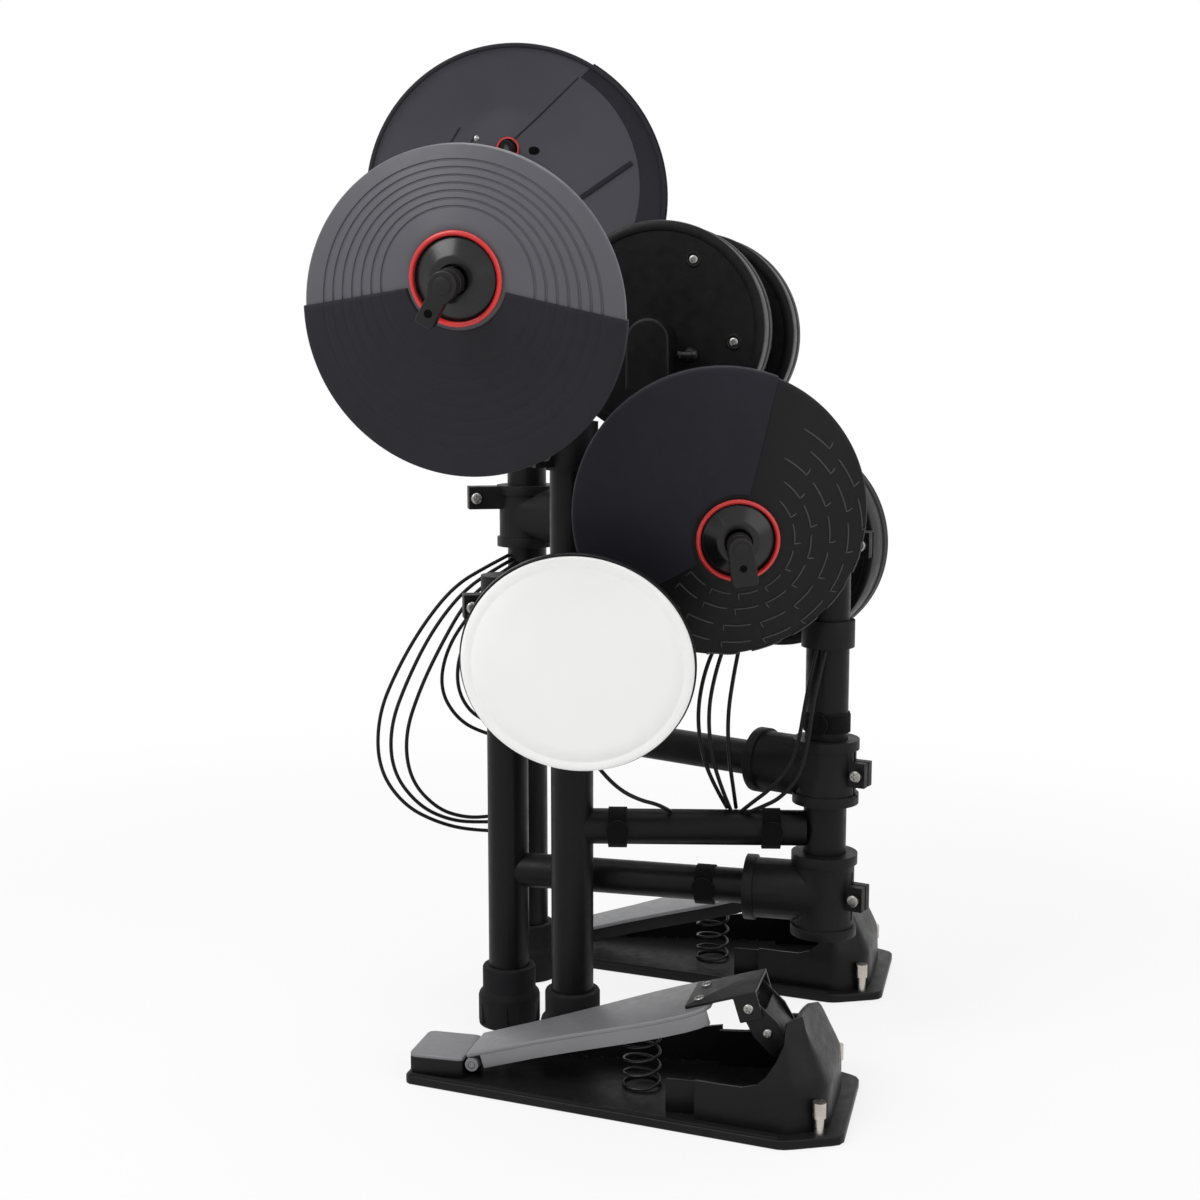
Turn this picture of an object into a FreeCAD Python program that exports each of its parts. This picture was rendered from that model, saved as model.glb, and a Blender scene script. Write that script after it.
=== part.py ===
"""Electronic drum kit, folded up like a fan for storage.

The origin is the middle of the short leg's rubber foot, on the floor. X points to the side that
carries the snare, Y runs from the legs to the hub post, and Z is up. Lengths are millimetres.
"""
import FreeCAD, Part
import math
import operator
import os
import Sketcher

# Driving dimensions, in millimetres, and places of the main pieces.
SIZES = {
    "tube_diameter": 38.1,
    "tube_wall": 2.0,
    "arm_diameter": 31.8,
    "seat_gap": 0.15,
    "running_gap": 0.3,
    "cut_overrun": 4.0,
    "leg_top": 414.0,
    "leg_arm_height": 150.0,
    "near_x": 66.0,
    "near_y": 61.0,
    "near_top": 557.0,
    "near_arm_height": 209.0,
    "far_x": -130.0,
    "far_y": 14.0,
    "far_top_rise": 129.0,
    "far_arm_height": 262.5,
    "hub_x": 74.0,
    "hub_y": 287.0,
    "hub_bottom": 114.0,
    "hub_top": 480.0,
    "tom_bar_height": 471.0,
    "tom_bar_reach": 206.0,
    "foot_height": 57.0,
    "foot_diameter": 58.0,
    "foot_neck_diameter": 50.0,
    "foot_skirt": 30.0,
    "foot_floor": 9.0,
    "tee_diameter": 54.0,
    "tee_branch_reach": 70.0,
    "tee_branch_depth": 38.0,
    "tee_bead": 2.5,
    "tee_bead_height": 9.0,
    "lower_tee_length": 75.0,
    "middle_tee_length": 58.0,
    "upper_tee_length": 60.0,
    "ear_reach": 40.0,
    "bar_ear_reach": 58.0,
    "bar_ear_rise": 18.0,
    "ear_thickness": 18.0,
    "ear_height": 22.0,
    "ear_slit": 2.5,
    "ear_hole_inset": 7.0,
    "screw_diameter": 6.0,
    "screw_head_diameter": 11.0,
    "screw_head_height": 4.5,
    "clamp_diameter": 47.0,
    "clamp_wall": 4.5,
    "clamp_height": 42.0,
    "clamp_roof": 14.0,
    "hub_collar_height": 24.0,
    "hub_collar_place": 374.0,
    "strap_thickness": 2.0,
    "strap_width": 17.0,
    "strap_tab_length": 20.0,
    "near_strap_first": 41.0,
    "near_strap_second": 178.0,
    "hub_strap_place": 296.0,
    "cymbal_rod_diameter": 11.0,
    "cymbal_rod_bend": 26.0,
    "cymbal_rod_seat": 15.0,
    "cymbal_rod_rise": 42.0,
    "ride_rod_bend": 20.0,
    "ride_rod_rise": 62.0,
    "cymbal_rod_tip": 36.0,
    "cymbal_rod_neck": 62.0,
    "pivot_diameter": 18.0,
    "hihat_x": 318.0,
    "hihat_y": -18.0,
    "hihat_z": 684.0,
    "hihat_diameter": 245.0,
    "hihat_offset": 28.5,
    "ride_x": 160.0,
    "ride_y": 200.0,
    "ride_z": 477.0,
    "ride_diameter": 245.0,
    "ride_offset": 22.0,
    "crash_x": -185.0,
    "crash_y": -5.0,
    "crash_rise": 229.0,
    "crash_diameter": 294.0,
    "crash_offset": 50.0,
    "crash_rod_standoff": 55.0,
    "cymbal_depth": 19.0,
    "cymbal_thickness": 3.0,
    "cymbal_rim_height": 6.0,
    "cymbal_rim_wall": 4.0,
    "cymbal_flat_diameter": 76.0,
    "cup_diameter": 58.0,
    "cup_top_diameter": 34.0,
    "cup_height": 9.0,
    "ring_diameter": 66.0,
    "ring_wire": 4.0,
    "zone_thickness": 2.0,
    "zone_lip": 1.5,
    "wingnut_diameter": 21.0,
    "wingnut_height": 17.0,
    "wingnut_lift": 13.5,
    "wingnut_blade_length": 40.0,
    "wingnut_blade_thickness": 9.0,
    "wingnut_blade_height": 24.0,
    "pad_diameter": 195.0,
    "pad_depth": 45.0,
    "pad_hoop_width": 3.0,
    "pad_hoop_height": 10.0,
    "pad_head_thickness": 8.0,
    "pad_wall": 3.0,
    "snare_back_diameter": 130.0,
    "tom_back_diameter": 190.0,
    "sensor_diameter": 36.0,
    "sensor_height": 7.0,
    "boss_width": 39.0,
    "boss_depth": 26.0,
    "boss_top": 10.0,
    "boss_length": 62.0,
    "boss_shift": 4.0,
    "pad_rod_diameter": 10.0,
    "pad_rod_bend": 22.0,
    "snare_x": 200.0,
    "snare_y": 67.0,
    "snare_z": 377.0,
    "snare_clamp_place": 300.0,
    "snare_clamp_height": 30.0,
    "tom_one_x": 42.0,
    "tom_one_y": 137.0,
    "tom_one_rise": 179.0,
    "tom_one_clamp": 124.0,
    "tom_one_leg_rise": 37.0,
    "tom_two_x": -50.0,
    "tom_two_y": 172.0,
    "tom_two_rise": 174.0,
    "tom_two_clamp": 88.0,
    "tom_two_leg_rise": 62.0,
    "tom_three_x": -8.0,
    "tom_three_y": 247.0,
    "tom_three_drop": 15.0,
    "tom_three_clamp": 190.0,
    "tom_three_leg_drop": 94.0,
    "socket_diameter": 20.0,
    "socket_length": 30.0,
    "socket_web": 15.0,
    "socket_web_depth": 20.0,
    "near_pedal_x": 117.0,
    "near_pedal_y": -77.0,
    "far_pedal_x": -209.5,
    "far_pedal_y": 4.0,
    "pedal_length": 385.0,
    "pedal_heel_width": 62.0,
    "pedal_toe_width": 168.0,
    "pedal_toe_length": 47.0,
    "pedal_corner": 22.0,
    "pedal_plate": 8.0,
    "pedal_housing_length": 123.0,
    "pedal_housing_height": 41.0,
    "pedal_swoop_inset": 69.0,
    "pedal_peak_inset": 44.0,
    "pedal_peak_length": 8.0,
    "pedal_peak_height": 96.0,
    "pedal_fin_width": 44.0,
    "pedal_step_length": 34.0,
    "pedal_step_height": 16.0,
    "pedal_wall": 4.0,
    "pedal_flange": 13.0,
    "heel_length": 53.4,
    "heel_height": 27.0,
    "heel_margin": 3.0,
    "heel_pin_diameter": 6.0,
    "heel_pin_place": 60.0,
    "heel_pin_height": 21.0,
    "knuckle_diameter": 12.0,
    "knuckle_width": 16.0,
    "board_toe_gap": 163.0,
    "board_heel_width": 52.0,
    "board_toe_width": 84.0,
    "board_thickness": 4.0,
    "board_flange": 12.0,
    "board_lift": 6.5,
    "board_skirt": 3.0,
    "bracket_length": 62.0,
    "bracket_width": 58.0,
    "bracket_lap": 22.0,
    "bracket_thickness": 3.0,
    "bracket_ear": 24.0,
    "link_length": 52.0,
    "link_width": 12.0,
    "link_thickness": 4.0,
    "link_pin_diameter": 6.0,
    "link_pin_inset": 10.0,
    "spring_diameter": 34.0,
    "spring_wire": 2.6,
    "spring_place": 205.0,
    "spur_diameter": 8.0,
    "spur_head_diameter": 11.0,
    "spur_head_height": 13.0,
    "spur_length": 34.0,
    "spur_inset": 20.0,
    "spur_lift": 1.0,
    "spur_clearance": 5.0,
    "cable_diameter": 3.6,
}

# Angles, in degrees, and counts.
HIHAT_FACING = (-12.0, -10.0)
RIDE_FACING = (0.0, -8.0)
CRASH_FACING = (180.0, 0.0)
SNARE_FACING = (-6.0, -15.0)
TOM_FACING = (165.0, 0.0)
TOM_THREE_FACING = (152.0, 0.0)
HIHAT_ZONE_DOWN = (-0.08, -1.0)
RIDE_ZONE_DOWN = (-0.62, 0.78)
CRASH_ZONE_DOWN = (-0.18, -0.98)
HIHAT_NUT_DOWN = (-0.5, -0.85)
RIDE_NUT_DOWN = (0.15, -1.0)
HIHAT_ZONE_ANGLE = 158.0
RIDE_ZONE_ANGLE = 135.0
CRASH_ZONE_ANGLE = 150.0
# How far each rubber zone is turned from the way its plate hangs, in degrees
HIHAT_ZONE_TURN = 0.0
RIDE_ZONE_TURN = 15.5
CRASH_ZONE_TURN = -47.0
PEDAL_HEADING = 76.0
BOARD_SLOPE = 17.0
LINK_SLOPE = -52.0
SPRING_TURNS = 6

doc = FreeCAD.newDocument("DrumKit")
sheet = doc.addObject("Spreadsheet::Sheet", "Sizes")
for row, (alias, number) in enumerate(SIZES.items(), start=1):
    sheet.set(f"A{row}", alias)
    sheet.set(f"B{row}", str(number))
    sheet.setAlias(f"B{row}", alias)
doc.recompute()


class Size:
    """A length of the sheet, or one worked out from such lengths, with its formula."""

    SIGNS = {"+": operator.add, "-": operator.sub, "*": operator.mul, "/": operator.truediv}

    def __init__(self, number, formula):
        self.number = float(number)
        self.formula = formula

    def __float__(self):
        return self.number

    @staticmethod
    def join(first, sign, second):
        """The sum, difference, product or quotient of two sizes or plain numbers."""
        texts = [part.formula if isinstance(part, Size) else f"({part})" for part in (first, second)]
        number = Size.SIGNS[sign](float(first), float(second))
        return Size(number, f"({texts[0]} {sign} {texts[1]})")

    def __add__(self, other):
        return Size.join(self, "+", other)

    def __radd__(self, other):
        return Size.join(other, "+", self)

    def __sub__(self, other):
        return Size.join(self, "-", other)

    def __rsub__(self, other):
        return Size.join(other, "-", self)

    def __mul__(self, other):
        return Size.join(self, "*", other)

    def __rmul__(self, other):
        return Size.join(other, "*", self)

    def __truediv__(self, other):
        return Size.join(self, "/", other)

    def __neg__(self):
        return Size.join(0, "-", self)


class Sizes:
    """The sheet's lengths, each under its own name."""

    def __getattr__(self, alias):
        return Size(sheet.get(alias), f"{sheet.Name}.{alias}")


size = Sizes()
UP = FreeCAD.Vector(0, 0, 1)
pieces = []


def piece(shape_object, label, placement=None):
    """Names a finished piece of the kit and, if asked, puts it in its place."""
    shape_object.Label = label
    if placement is not None:
        shape_object.Placement = placement
    pieces.append(shape_object)
    return shape_object


def bind(item, name, length):
    """Ties a property to the sheet."""
    if isinstance(length, Size):
        item.setExpression(name, length.formula)
    else:
        setattr(item, name, length)


def point(x, y, z):
    return FreeCAD.Vector(float(x), float(y), float(z))


def aimed(start, axis, across=UP):
    """A place whose own Z looks along axis and whose own Y leans to across."""
    along = FreeCAD.Vector(axis).normalize()
    if abs(along.dot(across)) > math.cos(math.radians(1)):
        across = FreeCAD.Vector(0, 1, 0)
    side = across.cross(along).normalize()
    return FreeCAD.Placement(start, FreeCAD.Rotation(side, along.cross(side), along, "ZXY"))


def facing(angles):
    """A unit vector from its heading about Z and its rise, in degrees."""
    heading, rise = (math.radians(angle) for angle in angles)
    return FreeCAD.Vector(
        math.cos(rise) * math.cos(heading), math.cos(rise) * math.sin(heading), math.sin(rise)
    )


def cylinder(radius, height, start, axis=UP, turn=360):
    item = doc.addObject("Part::Cylinder", "Cylinder")
    bind(item, "Radius", radius)
    bind(item, "Height", height)
    item.Angle = turn
    item.Placement = aimed(start, axis)
    return item


def box(length, width, height, middle, placement=None):
    """A block centred on a point of the given place."""
    item = doc.addObject("Part::Box", "Box")
    bind(item, "Length", length)
    bind(item, "Width", width)
    bind(item, "Height", height)
    corner = middle - point(length / 2, width / 2, height / 2)
    item.Placement = FreeCAD.Placement(corner, FreeCAD.Rotation())
    if placement is not None:
        item.Placement = placement.multiply(item.Placement)
    return item


def fuse(*items):
    result = doc.addObject("Part::MultiFuse", "Fuse")
    result.Shapes = list(items)
    result.Refine = True
    return result


def cut(base, *tools):
    result = base
    for tool in tools:
        step = doc.addObject("Part::Cut", "Cut")
        step.Base = result
        step.Tool = tool
        step.Refine = True
        result = step
    return result


def common(first, second):
    result = doc.addObject("Part::Common", "Common")
    result.Base = first
    result.Tool = second
    return result


def group(*items):
    """Separate solids of one kind that share a name."""
    result = doc.addObject("Part::Compound", "Group")
    result.Links = list(items)
    return result


def origin_plane(body, role):
    return next(plane for plane in body.Origin.OriginFeatures if plane.Role == role)


def outline(body, role, corners, lift=None):
    """A closed sketch of straight lines through corners given as pairs of sizes."""
    sketch = body.newObject("Sketcher::SketchObject", "Outline")
    sketch.AttachmentSupport = [(origin_plane(body, role), "")]
    sketch.MapMode = "FlatFace"
    if lift is not None:
        sketch.setExpression("AttachmentOffset.Base.z", lift.formula)
    ends = [point(across, up, 0) for across, up in corners]
    count = len(ends)
    for index in range(count):
        sketch.addGeometry(Part.LineSegment(ends[index], ends[(index + 1) % count]), False)
    for index in range(count):
        sketch.addConstraint(Sketcher.Constraint("Coincident", index, 2, (index + 1) % count, 1))
    for index, pair in enumerate(corners):
        for kind, length in zip(("DistanceX", "DistanceY"), pair):
            rule = Sketcher.Constraint(kind, -1, 1, index, 1, float(length))
            number = sketch.addConstraint(rule)
            if isinstance(length, Size):
                sketch.setExpression(f"Constraints[{number}]", length.formula)
    return sketch


def revolved(corners):
    """A body turned about its own Z from pairs of radius and height."""
    body = doc.addObject("PartDesign::Body", "Turned")
    sketch = outline(body, "XZ_Plane", corners)
    turning = body.newObject("PartDesign::Revolution", "Revolution")
    turning.Profile = sketch
    turning.ReferenceAxis = (sketch, ["V_Axis"])
    turning.Angle = 360
    doc.recompute()
    return body


def padded(corners, role, height, midplane=False):
    """A body raised from an outline on one of its own planes."""
    body = doc.addObject("PartDesign::Body", "Raised")
    sketch = outline(body, role, corners)
    pad = body.newObject("PartDesign::Pad", "Pad")
    pad.Profile = sketch
    pad.SideType = "Symmetric" if midplane else "One side"
    bind(pad, "Length", height)
    doc.recompute()
    return body


def rounded_path(stops, radius=None):
    """Straight runs joined by tangent arcs, each as large as its runs allow or of one radius."""
    edges = []
    start = stops[0]
    radii = []
    for before, corner, after in zip(stops, stops[1:], stops[2:]):
        inward = (corner - before).normalize()
        outward = (after - corner).normalize()
        turn = math.acos(max(-1.0, min(1.0, inward.dot(outward))))
        shorter = min((corner - before).Length, (after - corner).Length)
        share = math.tan(turn / 2)
        bend = 0.45 * shorter / share if radius is None else float(radius)
        back = bend * share
        first = corner - inward * back
        last = corner + outward * back
        middle = corner + (outward - inward).normalize() * (bend / math.cos(turn / 2) - bend)
        edges.append(Part.LineSegment(start, first).toShape())
        edges.append(Part.Arc(first, middle, last).toShape())
        radii.append(bend)
        start = last
    edges.append(Part.LineSegment(start, stops[-1]).toShape())
    return Part.Wire(edges), radii


def swept(path, diameter):
    """A round bar along a path."""
    first = path.Edges[0]
    start = first.valueAt(first.FirstParameter)
    ring = Part.Circle(start, first.tangentAt(first.FirstParameter), float(diameter) / 2)
    return path.makePipeShell([Part.Wire(ring.toShape())], True, False)


def solid_piece(shape):
    item = doc.addObject("Part::Feature", "Solid")
    item.Shape = shape
    return item


# Rack posts and arms.
TUBE_RADIUS = size.tube_diameter / 2
ARM_RADIUS = size.arm_diameter / 2
LEG = point(0, 0, 0)
NEAR = point(size.near_x, size.near_y, 0)
FAR = point(size.far_x, size.far_y, 0)
HUB = point(size.hub_x, size.hub_y, 0)


def raised(place, height):
    return place + UP * float(height)


def arm_axis(post):
    return (HUB - post).normalize()


def reach_size(length):
    """A length that follows from where the posts stand."""
    return Size(length, f"({length!r})")


def welded(bars):
    """Tubes welded into one frame: each bar is its radius, start, axis and length."""
    outers = []
    bores = []
    for radius, start, axis, length in bars:
        outers.append(cylinder(radius, length, start, axis))
        bores.append(cylinder(radius - size.tube_wall, length, start, axis))
    outer = fuse(*outers) if len(outers) > 1 else outers[0]
    return cut(outer, *bores)


def post_bar(post, bottom, top):
    return TUBE_RADIUS, raised(post, bottom), UP, top - bottom


def arm_bar(post, height, stop_short):
    """An arm from a post towards the hub, ending short of the hub's axis."""
    length = reach_size((HUB - post).Length) - stop_short
    return ARM_RADIUS, raised(post, height), arm_axis(post), length


tee_stop = size.tee_branch_reach - size.tee_branch_depth
leg_bars = [post_bar(LEG, size.foot_floor, size.leg_top), arm_bar(LEG, size.leg_arm_height, tee_stop)]
# The far post, its crash cymbal and its toms stand at heights from the tom bar.
far_top = size.tom_bar_height + size.far_top_rise
far_bars = [post_bar(FAR, size.foot_floor, far_top), arm_bar(FAR, size.far_arm_height, tee_stop)]
near_bars = [
    post_bar(NEAR, size.foot_floor, size.near_top),
    post_bar(HUB, size.hub_bottom, size.hub_top),
    arm_bar(NEAR, size.near_arm_height, TUBE_RADIUS - size.tube_wall),
]
piece(welded(leg_bars), "leg_frame")
piece(welded(far_bars), "far_frame")
piece(welded(near_bars), "near_frame")
bar_axis = arm_axis(FAR)
bar_start = raised(FAR, size.tom_bar_height) + bar_axis * float(tee_stop)
bar_length = size.tom_bar_reach - tee_stop
piece(welded([(ARM_RADIUS, bar_start, bar_axis, bar_length)]), "tom_bar")

# Rubber feet.
FOOT_BORE = TUBE_RADIUS + size.seat_gap


def foot(label, post):
    flare = size.foot_diameter / 2
    neck = size.foot_neck_diameter / 2
    corners = [
        (0, 0),
        (flare, 0),
        (flare, size.foot_skirt),
        (neck, size.foot_skirt + (flare - neck)),
        (neck, size.foot_height),
        (FOOT_BORE, size.foot_height),
        (FOOT_BORE, size.foot_floor),
        (0, size.foot_floor),
    ]
    piece(revolved(corners), label, FreeCAD.Placement(post, FreeCAD.Rotation()))


foot("leg_foot", LEG)
foot("near_foot", NEAR)
foot("far_foot", FAR)

# Clamp ears with their cross screws. An ear stands on a sleeve and points along a heading.
EAR_START = size.tube_diameter / 2 + size.running_gap


def ear(middle, heading, reach=size.ear_reach):
    """The ear, its slit with the screw hole, and its screw, whose head is on the +X side."""
    out = facing((heading, 0))
    place = FreeCAD.Placement(middle, FreeCAD.Rotation(UP, heading))
    length = reach - EAR_START
    centre = point(EAR_START + length / 2, 0, 0)
    block = box(length, size.ear_thickness, size.ear_height, centre, place)
    slit = box(length, size.ear_slit, size.ear_height * 2, centre, place)
    side = out.cross(UP)
    if side.x < 0:
        side = -side
    hole_place = middle + out * float(reach - size.ear_hole_inset)
    deep = size.ear_thickness + size.cut_overrun * 2
    hole_start = hole_place - side * (float(deep) / 2)
    hole = cylinder(size.screw_diameter / 2 + size.seat_gap, deep, hole_start, side)
    shank_start = hole_place - side * (float(size.ear_thickness) / 2)
    shank = cylinder(size.screw_diameter / 2, size.ear_thickness, shank_start, side)
    head_start = hole_place + side * (float(size.ear_thickness) / 2)
    head = cylinder(size.screw_head_diameter / 2, size.screw_head_height, head_start, side)
    return block, fuse(slit, hole), fuse(shank, head)


def tee(post, height, length, branch_axis, ears, post_gap):
    """A plastic coupling round a post with a branch for an arm, and its screws."""
    radius = size.tee_diameter / 2
    bead = radius + size.tee_bead
    base = raised(post, height - length / 2)
    top = raised(post, height + length / 2 - size.tee_bead_height)
    middle = raised(post, height)
    end = middle + branch_axis * float(size.tee_branch_reach - size.tee_bead_height)
    solids = [
        cylinder(radius, length, base),
        cylinder(bead, size.tee_bead_height, base),
        cylinder(bead, size.tee_bead_height, top),
        cylinder(radius, size.tee_branch_reach, middle, branch_axis),
        cylinder(bead, size.tee_bead_height, end, branch_axis),
    ]
    over = size.cut_overrun
    bore_start = raised(post, height - length / 2 - over)
    bore = cylinder(TUBE_RADIUS + post_gap, length + over * 2, bore_start)
    branch_start = middle + branch_axis * float(tee_stop)
    branch = cylinder(ARM_RADIUS + size.seat_gap, size.tee_branch_depth + over, branch_start, branch_axis)
    screws = []
    slits = []
    for heading, rise, reach in ears:
        block, slit, screw = ear(middle + UP * float(rise), heading, reach)
        solids.append(block)
        slits.append(slit)
        screws.append(screw)
    return cut(fuse(*solids), bore, branch, *slits), screws


HUB_EARS = [(60, 0, size.ear_reach)]
BAR_EARS = [(-80, size.bar_ear_rise, size.bar_ear_reach)]
leg_tee, leg_screws = tee(
    HUB, size.leg_arm_height, size.lower_tee_length, -arm_axis(LEG), HUB_EARS, size.running_gap
)
piece(leg_tee, "lower_tee")
hub_tee, hub_tee_screws = tee(
    HUB, size.far_arm_height, size.middle_tee_length, -arm_axis(FAR), HUB_EARS, size.running_gap
)
bar_tee, bar_tee_screws = tee(
    FAR, size.tom_bar_height, size.upper_tee_length, bar_axis, BAR_EARS, size.seat_gap
)
piece(group(hub_tee, bar_tee), "far_tees")

# Top clamps: a sleeve with a roof over the end of a post, and an ear.
ROD_HOLE = size.cymbal_rod_diameter / 2 + size.seat_gap


def top_clamp(post, top, heading):
    """The clamp, with a hole for a rod in its roof, and its screw."""
    radius = size.clamp_diameter / 2
    start = raised(post, top + size.clamp_roof - size.clamp_height)
    sleeve = cylinder(radius, size.clamp_height, start)
    depth = size.clamp_height - size.clamp_roof
    over = size.cut_overrun
    bore = cylinder(TUBE_RADIUS + size.seat_gap, depth + over, raised(post, top - depth - over))
    block, slit, screw = ear(raised(post, top - depth / 2), heading)
    rod_hole = cylinder(ROD_HOLE, size.clamp_roof + over * 2, raised(post, top - over))
    return cut(fuse(sleeve, block), bore, slit, rod_hole), screw


leg_clamp, leg_clamp_screw = top_clamp(LEG, size.leg_top, -80)
piece(leg_clamp, "leg_clamp")
piece(group(*leg_screws, leg_clamp_screw), "leg_screws")
near_clamp, near_clamp_screw = top_clamp(NEAR, size.near_top, -60)
hub_clamp, hub_clamp_screw = top_clamp(HUB, size.hub_top, 60)
far_clamp, far_clamp_screw = top_clamp(FAR, far_top, -60)
collar_start = raised(HUB, size.hub_collar_place)
hub_collar = cut(
    cylinder(size.clamp_diameter / 2, size.hub_collar_height, collar_start),
    cylinder(TUBE_RADIUS + size.seat_gap, size.hub_collar_height, collar_start),
)


def rod_socket(rod_start, rod_axis, seat, tube_axis, tube_radius):
    """A tube clamp: a sleeve centred on its seat, a socket for a pad rod, and the web between them."""
    width = size.snare_clamp_height
    over = float(size.cut_overrun)
    start = seat - tube_axis * (float(width) / 2)
    sleeve = cylinder(tube_radius + size.clamp_wall, width, start, tube_axis)
    socket = cylinder(size.socket_diameter / 2, size.socket_length, rod_start, rod_axis)
    middle = rod_start + rod_axis * (float(size.socket_length) / 2)
    reach = reach_size((middle - seat).Length)
    web_place = aimed(seat, middle - seat, tube_axis)
    web = box(size.socket_web, size.socket_web_depth, reach, point(0, 0, reach / 2), web_place)
    bore_start = start - tube_axis * over
    bore = cylinder(tube_radius + size.seat_gap, width + size.cut_overrun * 2, bore_start, tube_axis)
    hole = cylinder(
        size.pad_rod_diameter / 2 + size.seat_gap,
        size.socket_length + size.cut_overrun * 2,
        rod_start - rod_axis * over,
        rod_axis,
    )
    return cut(fuse(sleeve, socket, web), bore, hole)


# Pads: snare and toms share one build.
PAD_RADIUS = size.pad_diameter / 2
HEAD_RADIUS = PAD_RADIUS - size.pad_hoop_width - size.seat_gap
BOSS_AXIS_DEPTH = size.pad_depth + size.boss_depth / 2


def pad_place(x, y, z, angles, back):
    """The pad's own place: its Z is the playing direction, and the given point is its face or its back."""
    front = point(x, y, z)
    if back:
        front = front + facing(angles) * float(size.pad_depth)
    return aimed(front, facing(angles))


def pad_shell(shift, back):
    """The dish behind the head, with the rounded boss that takes the rod."""
    rim = HEAD_RADIUS
    floor = -size.pad_depth
    seat = -size.pad_head_thickness
    corners = [
        (0, floor),
        (back / 2, floor),
        (rim, -size.pad_hoop_height - size.pad_wall),
        (rim, seat),
        (rim - size.pad_wall, seat),
        (rim - size.pad_wall, -size.pad_hoop_height),
        (back / 2 - size.pad_wall, floor + size.pad_wall),
        (0, floor + size.pad_wall),
    ]
    dish = revolved(corners)
    centre = size.boss_top - size.boss_width / 2
    arch = cylinder(size.boss_width / 2, size.boss_depth, point(shift, centre, floor - size.boss_depth))
    drop = size.boss_length - size.boss_width / 2
    body = box(
        size.boss_width, drop, size.boss_depth, point(shift, centre - drop / 2, floor - size.boss_depth / 2)
    )
    hole = cylinder(
        size.pad_rod_diameter / 2 + size.running_gap,
        drop + size.cut_overrun,
        point(shift, centre - drop - size.cut_overrun, -BOSS_AXIS_DEPTH),
        FreeCAD.Vector(0, 1, 0),
    )
    return cut(fuse(dish, arch, body), hole)


def pad_hoop():
    inner = HEAD_RADIUS + size.seat_gap
    lip = inner - size.pad_hoop_width / 2
    corners = [
        (inner, -size.pad_hoop_height),
        (PAD_RADIUS, -size.pad_hoop_height),
        (PAD_RADIUS, size.seat_gap),
        (PAD_RADIUS - size.pad_hoop_width / 3, size.pad_hoop_width / 3),
        (lip, size.pad_hoop_width / 3),
        (lip, size.seat_gap),
        (inner, size.seat_gap),
    ]
    return revolved(corners)


def pad_head():
    corners = [
        (0, -size.pad_head_thickness),
        (HEAD_RADIUS, -size.pad_head_thickness),
        (HEAD_RADIUS, 0),
        (0, 0),
    ]
    return revolved(corners)


def pad_sensor():
    top = -size.pad_head_thickness
    corners = [
        (0, top - size.sensor_height),
        (size.sensor_diameter / 2, top - size.sensor_height),
        (size.sensor_diameter / 2, top - size.sensor_height * 2 / 3),
        (size.sensor_diameter / 3, top),
        (0, top),
    ]
    return revolved(corners)


def boss_axis_point(place, shift):
    """A point of the rod's axis, level with the bottom of its hole."""
    stop = size.boss_top - size.boss_length
    return place.multVec(point(shift, stop, -BOSS_AXIS_DEPTH))


def hole_top(place, shift):
    return place.multVec(point(shift, size.boss_top - size.boss_width / 2, -BOSS_AXIS_DEPTH))


snare_place = pad_place(size.snare_x, size.snare_y, size.snare_z, SNARE_FACING, False)
piece(pad_shell(0, size.snare_back_diameter), "snare_shell", snare_place)
piece(pad_hoop(), "snare_hoop", snare_place)
piece(pad_head(), "snare_head", snare_place)
piece(pad_sensor(), "snare_sensor", snare_place)

TOMS = {
    "tom_one": (size.tom_one_x, size.tom_one_y, size.tom_bar_height + size.tom_one_rise),
    "tom_two": (size.tom_two_x, size.tom_two_y, size.tom_bar_height + size.tom_two_rise),
    "tom_three": (size.tom_three_x, size.tom_three_y, size.tom_bar_height - size.tom_three_drop),
}
tom_places = {}
for tom, (tom_x, tom_y, tom_z) in TOMS.items():
    turned_to = TOM_THREE_FACING if tom == "tom_three" else TOM_FACING
    tom_places[tom] = pad_place(tom_x, tom_y, tom_z, turned_to, True)
    piece(pad_shell(size.boss_shift, size.tom_back_diameter), f"{tom}_shell", tom_places[tom])
    piece(pad_head(), f"{tom}_head", tom_places[tom])
    piece(pad_sensor(), f"{tom}_sensor", tom_places[tom])

# The snare's straight rod and its clamp on the near post.
snare_rod_axis = snare_place.Rotation.multVec(FreeCAD.Vector(0, 1, 0))
snare_rod_top = hole_top(snare_place, 0) - snare_rod_axis * float(size.running_gap)
snare_drop = (snare_rod_top.z - float(size.snare_clamp_place)) / snare_rod_axis.z
snare_rod_start = snare_rod_top - snare_rod_axis * snare_drop
snare_rod = cylinder(size.pad_rod_diameter / 2, reach_size(snare_drop), snare_rod_start, snare_rod_axis)
snare_seat = raised(NEAR, size.snare_clamp_place + size.snare_clamp_height / 2)
snare_clamp = rod_socket(snare_rod_start, snare_rod_axis, snare_seat, UP, TUBE_RADIUS)

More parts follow.
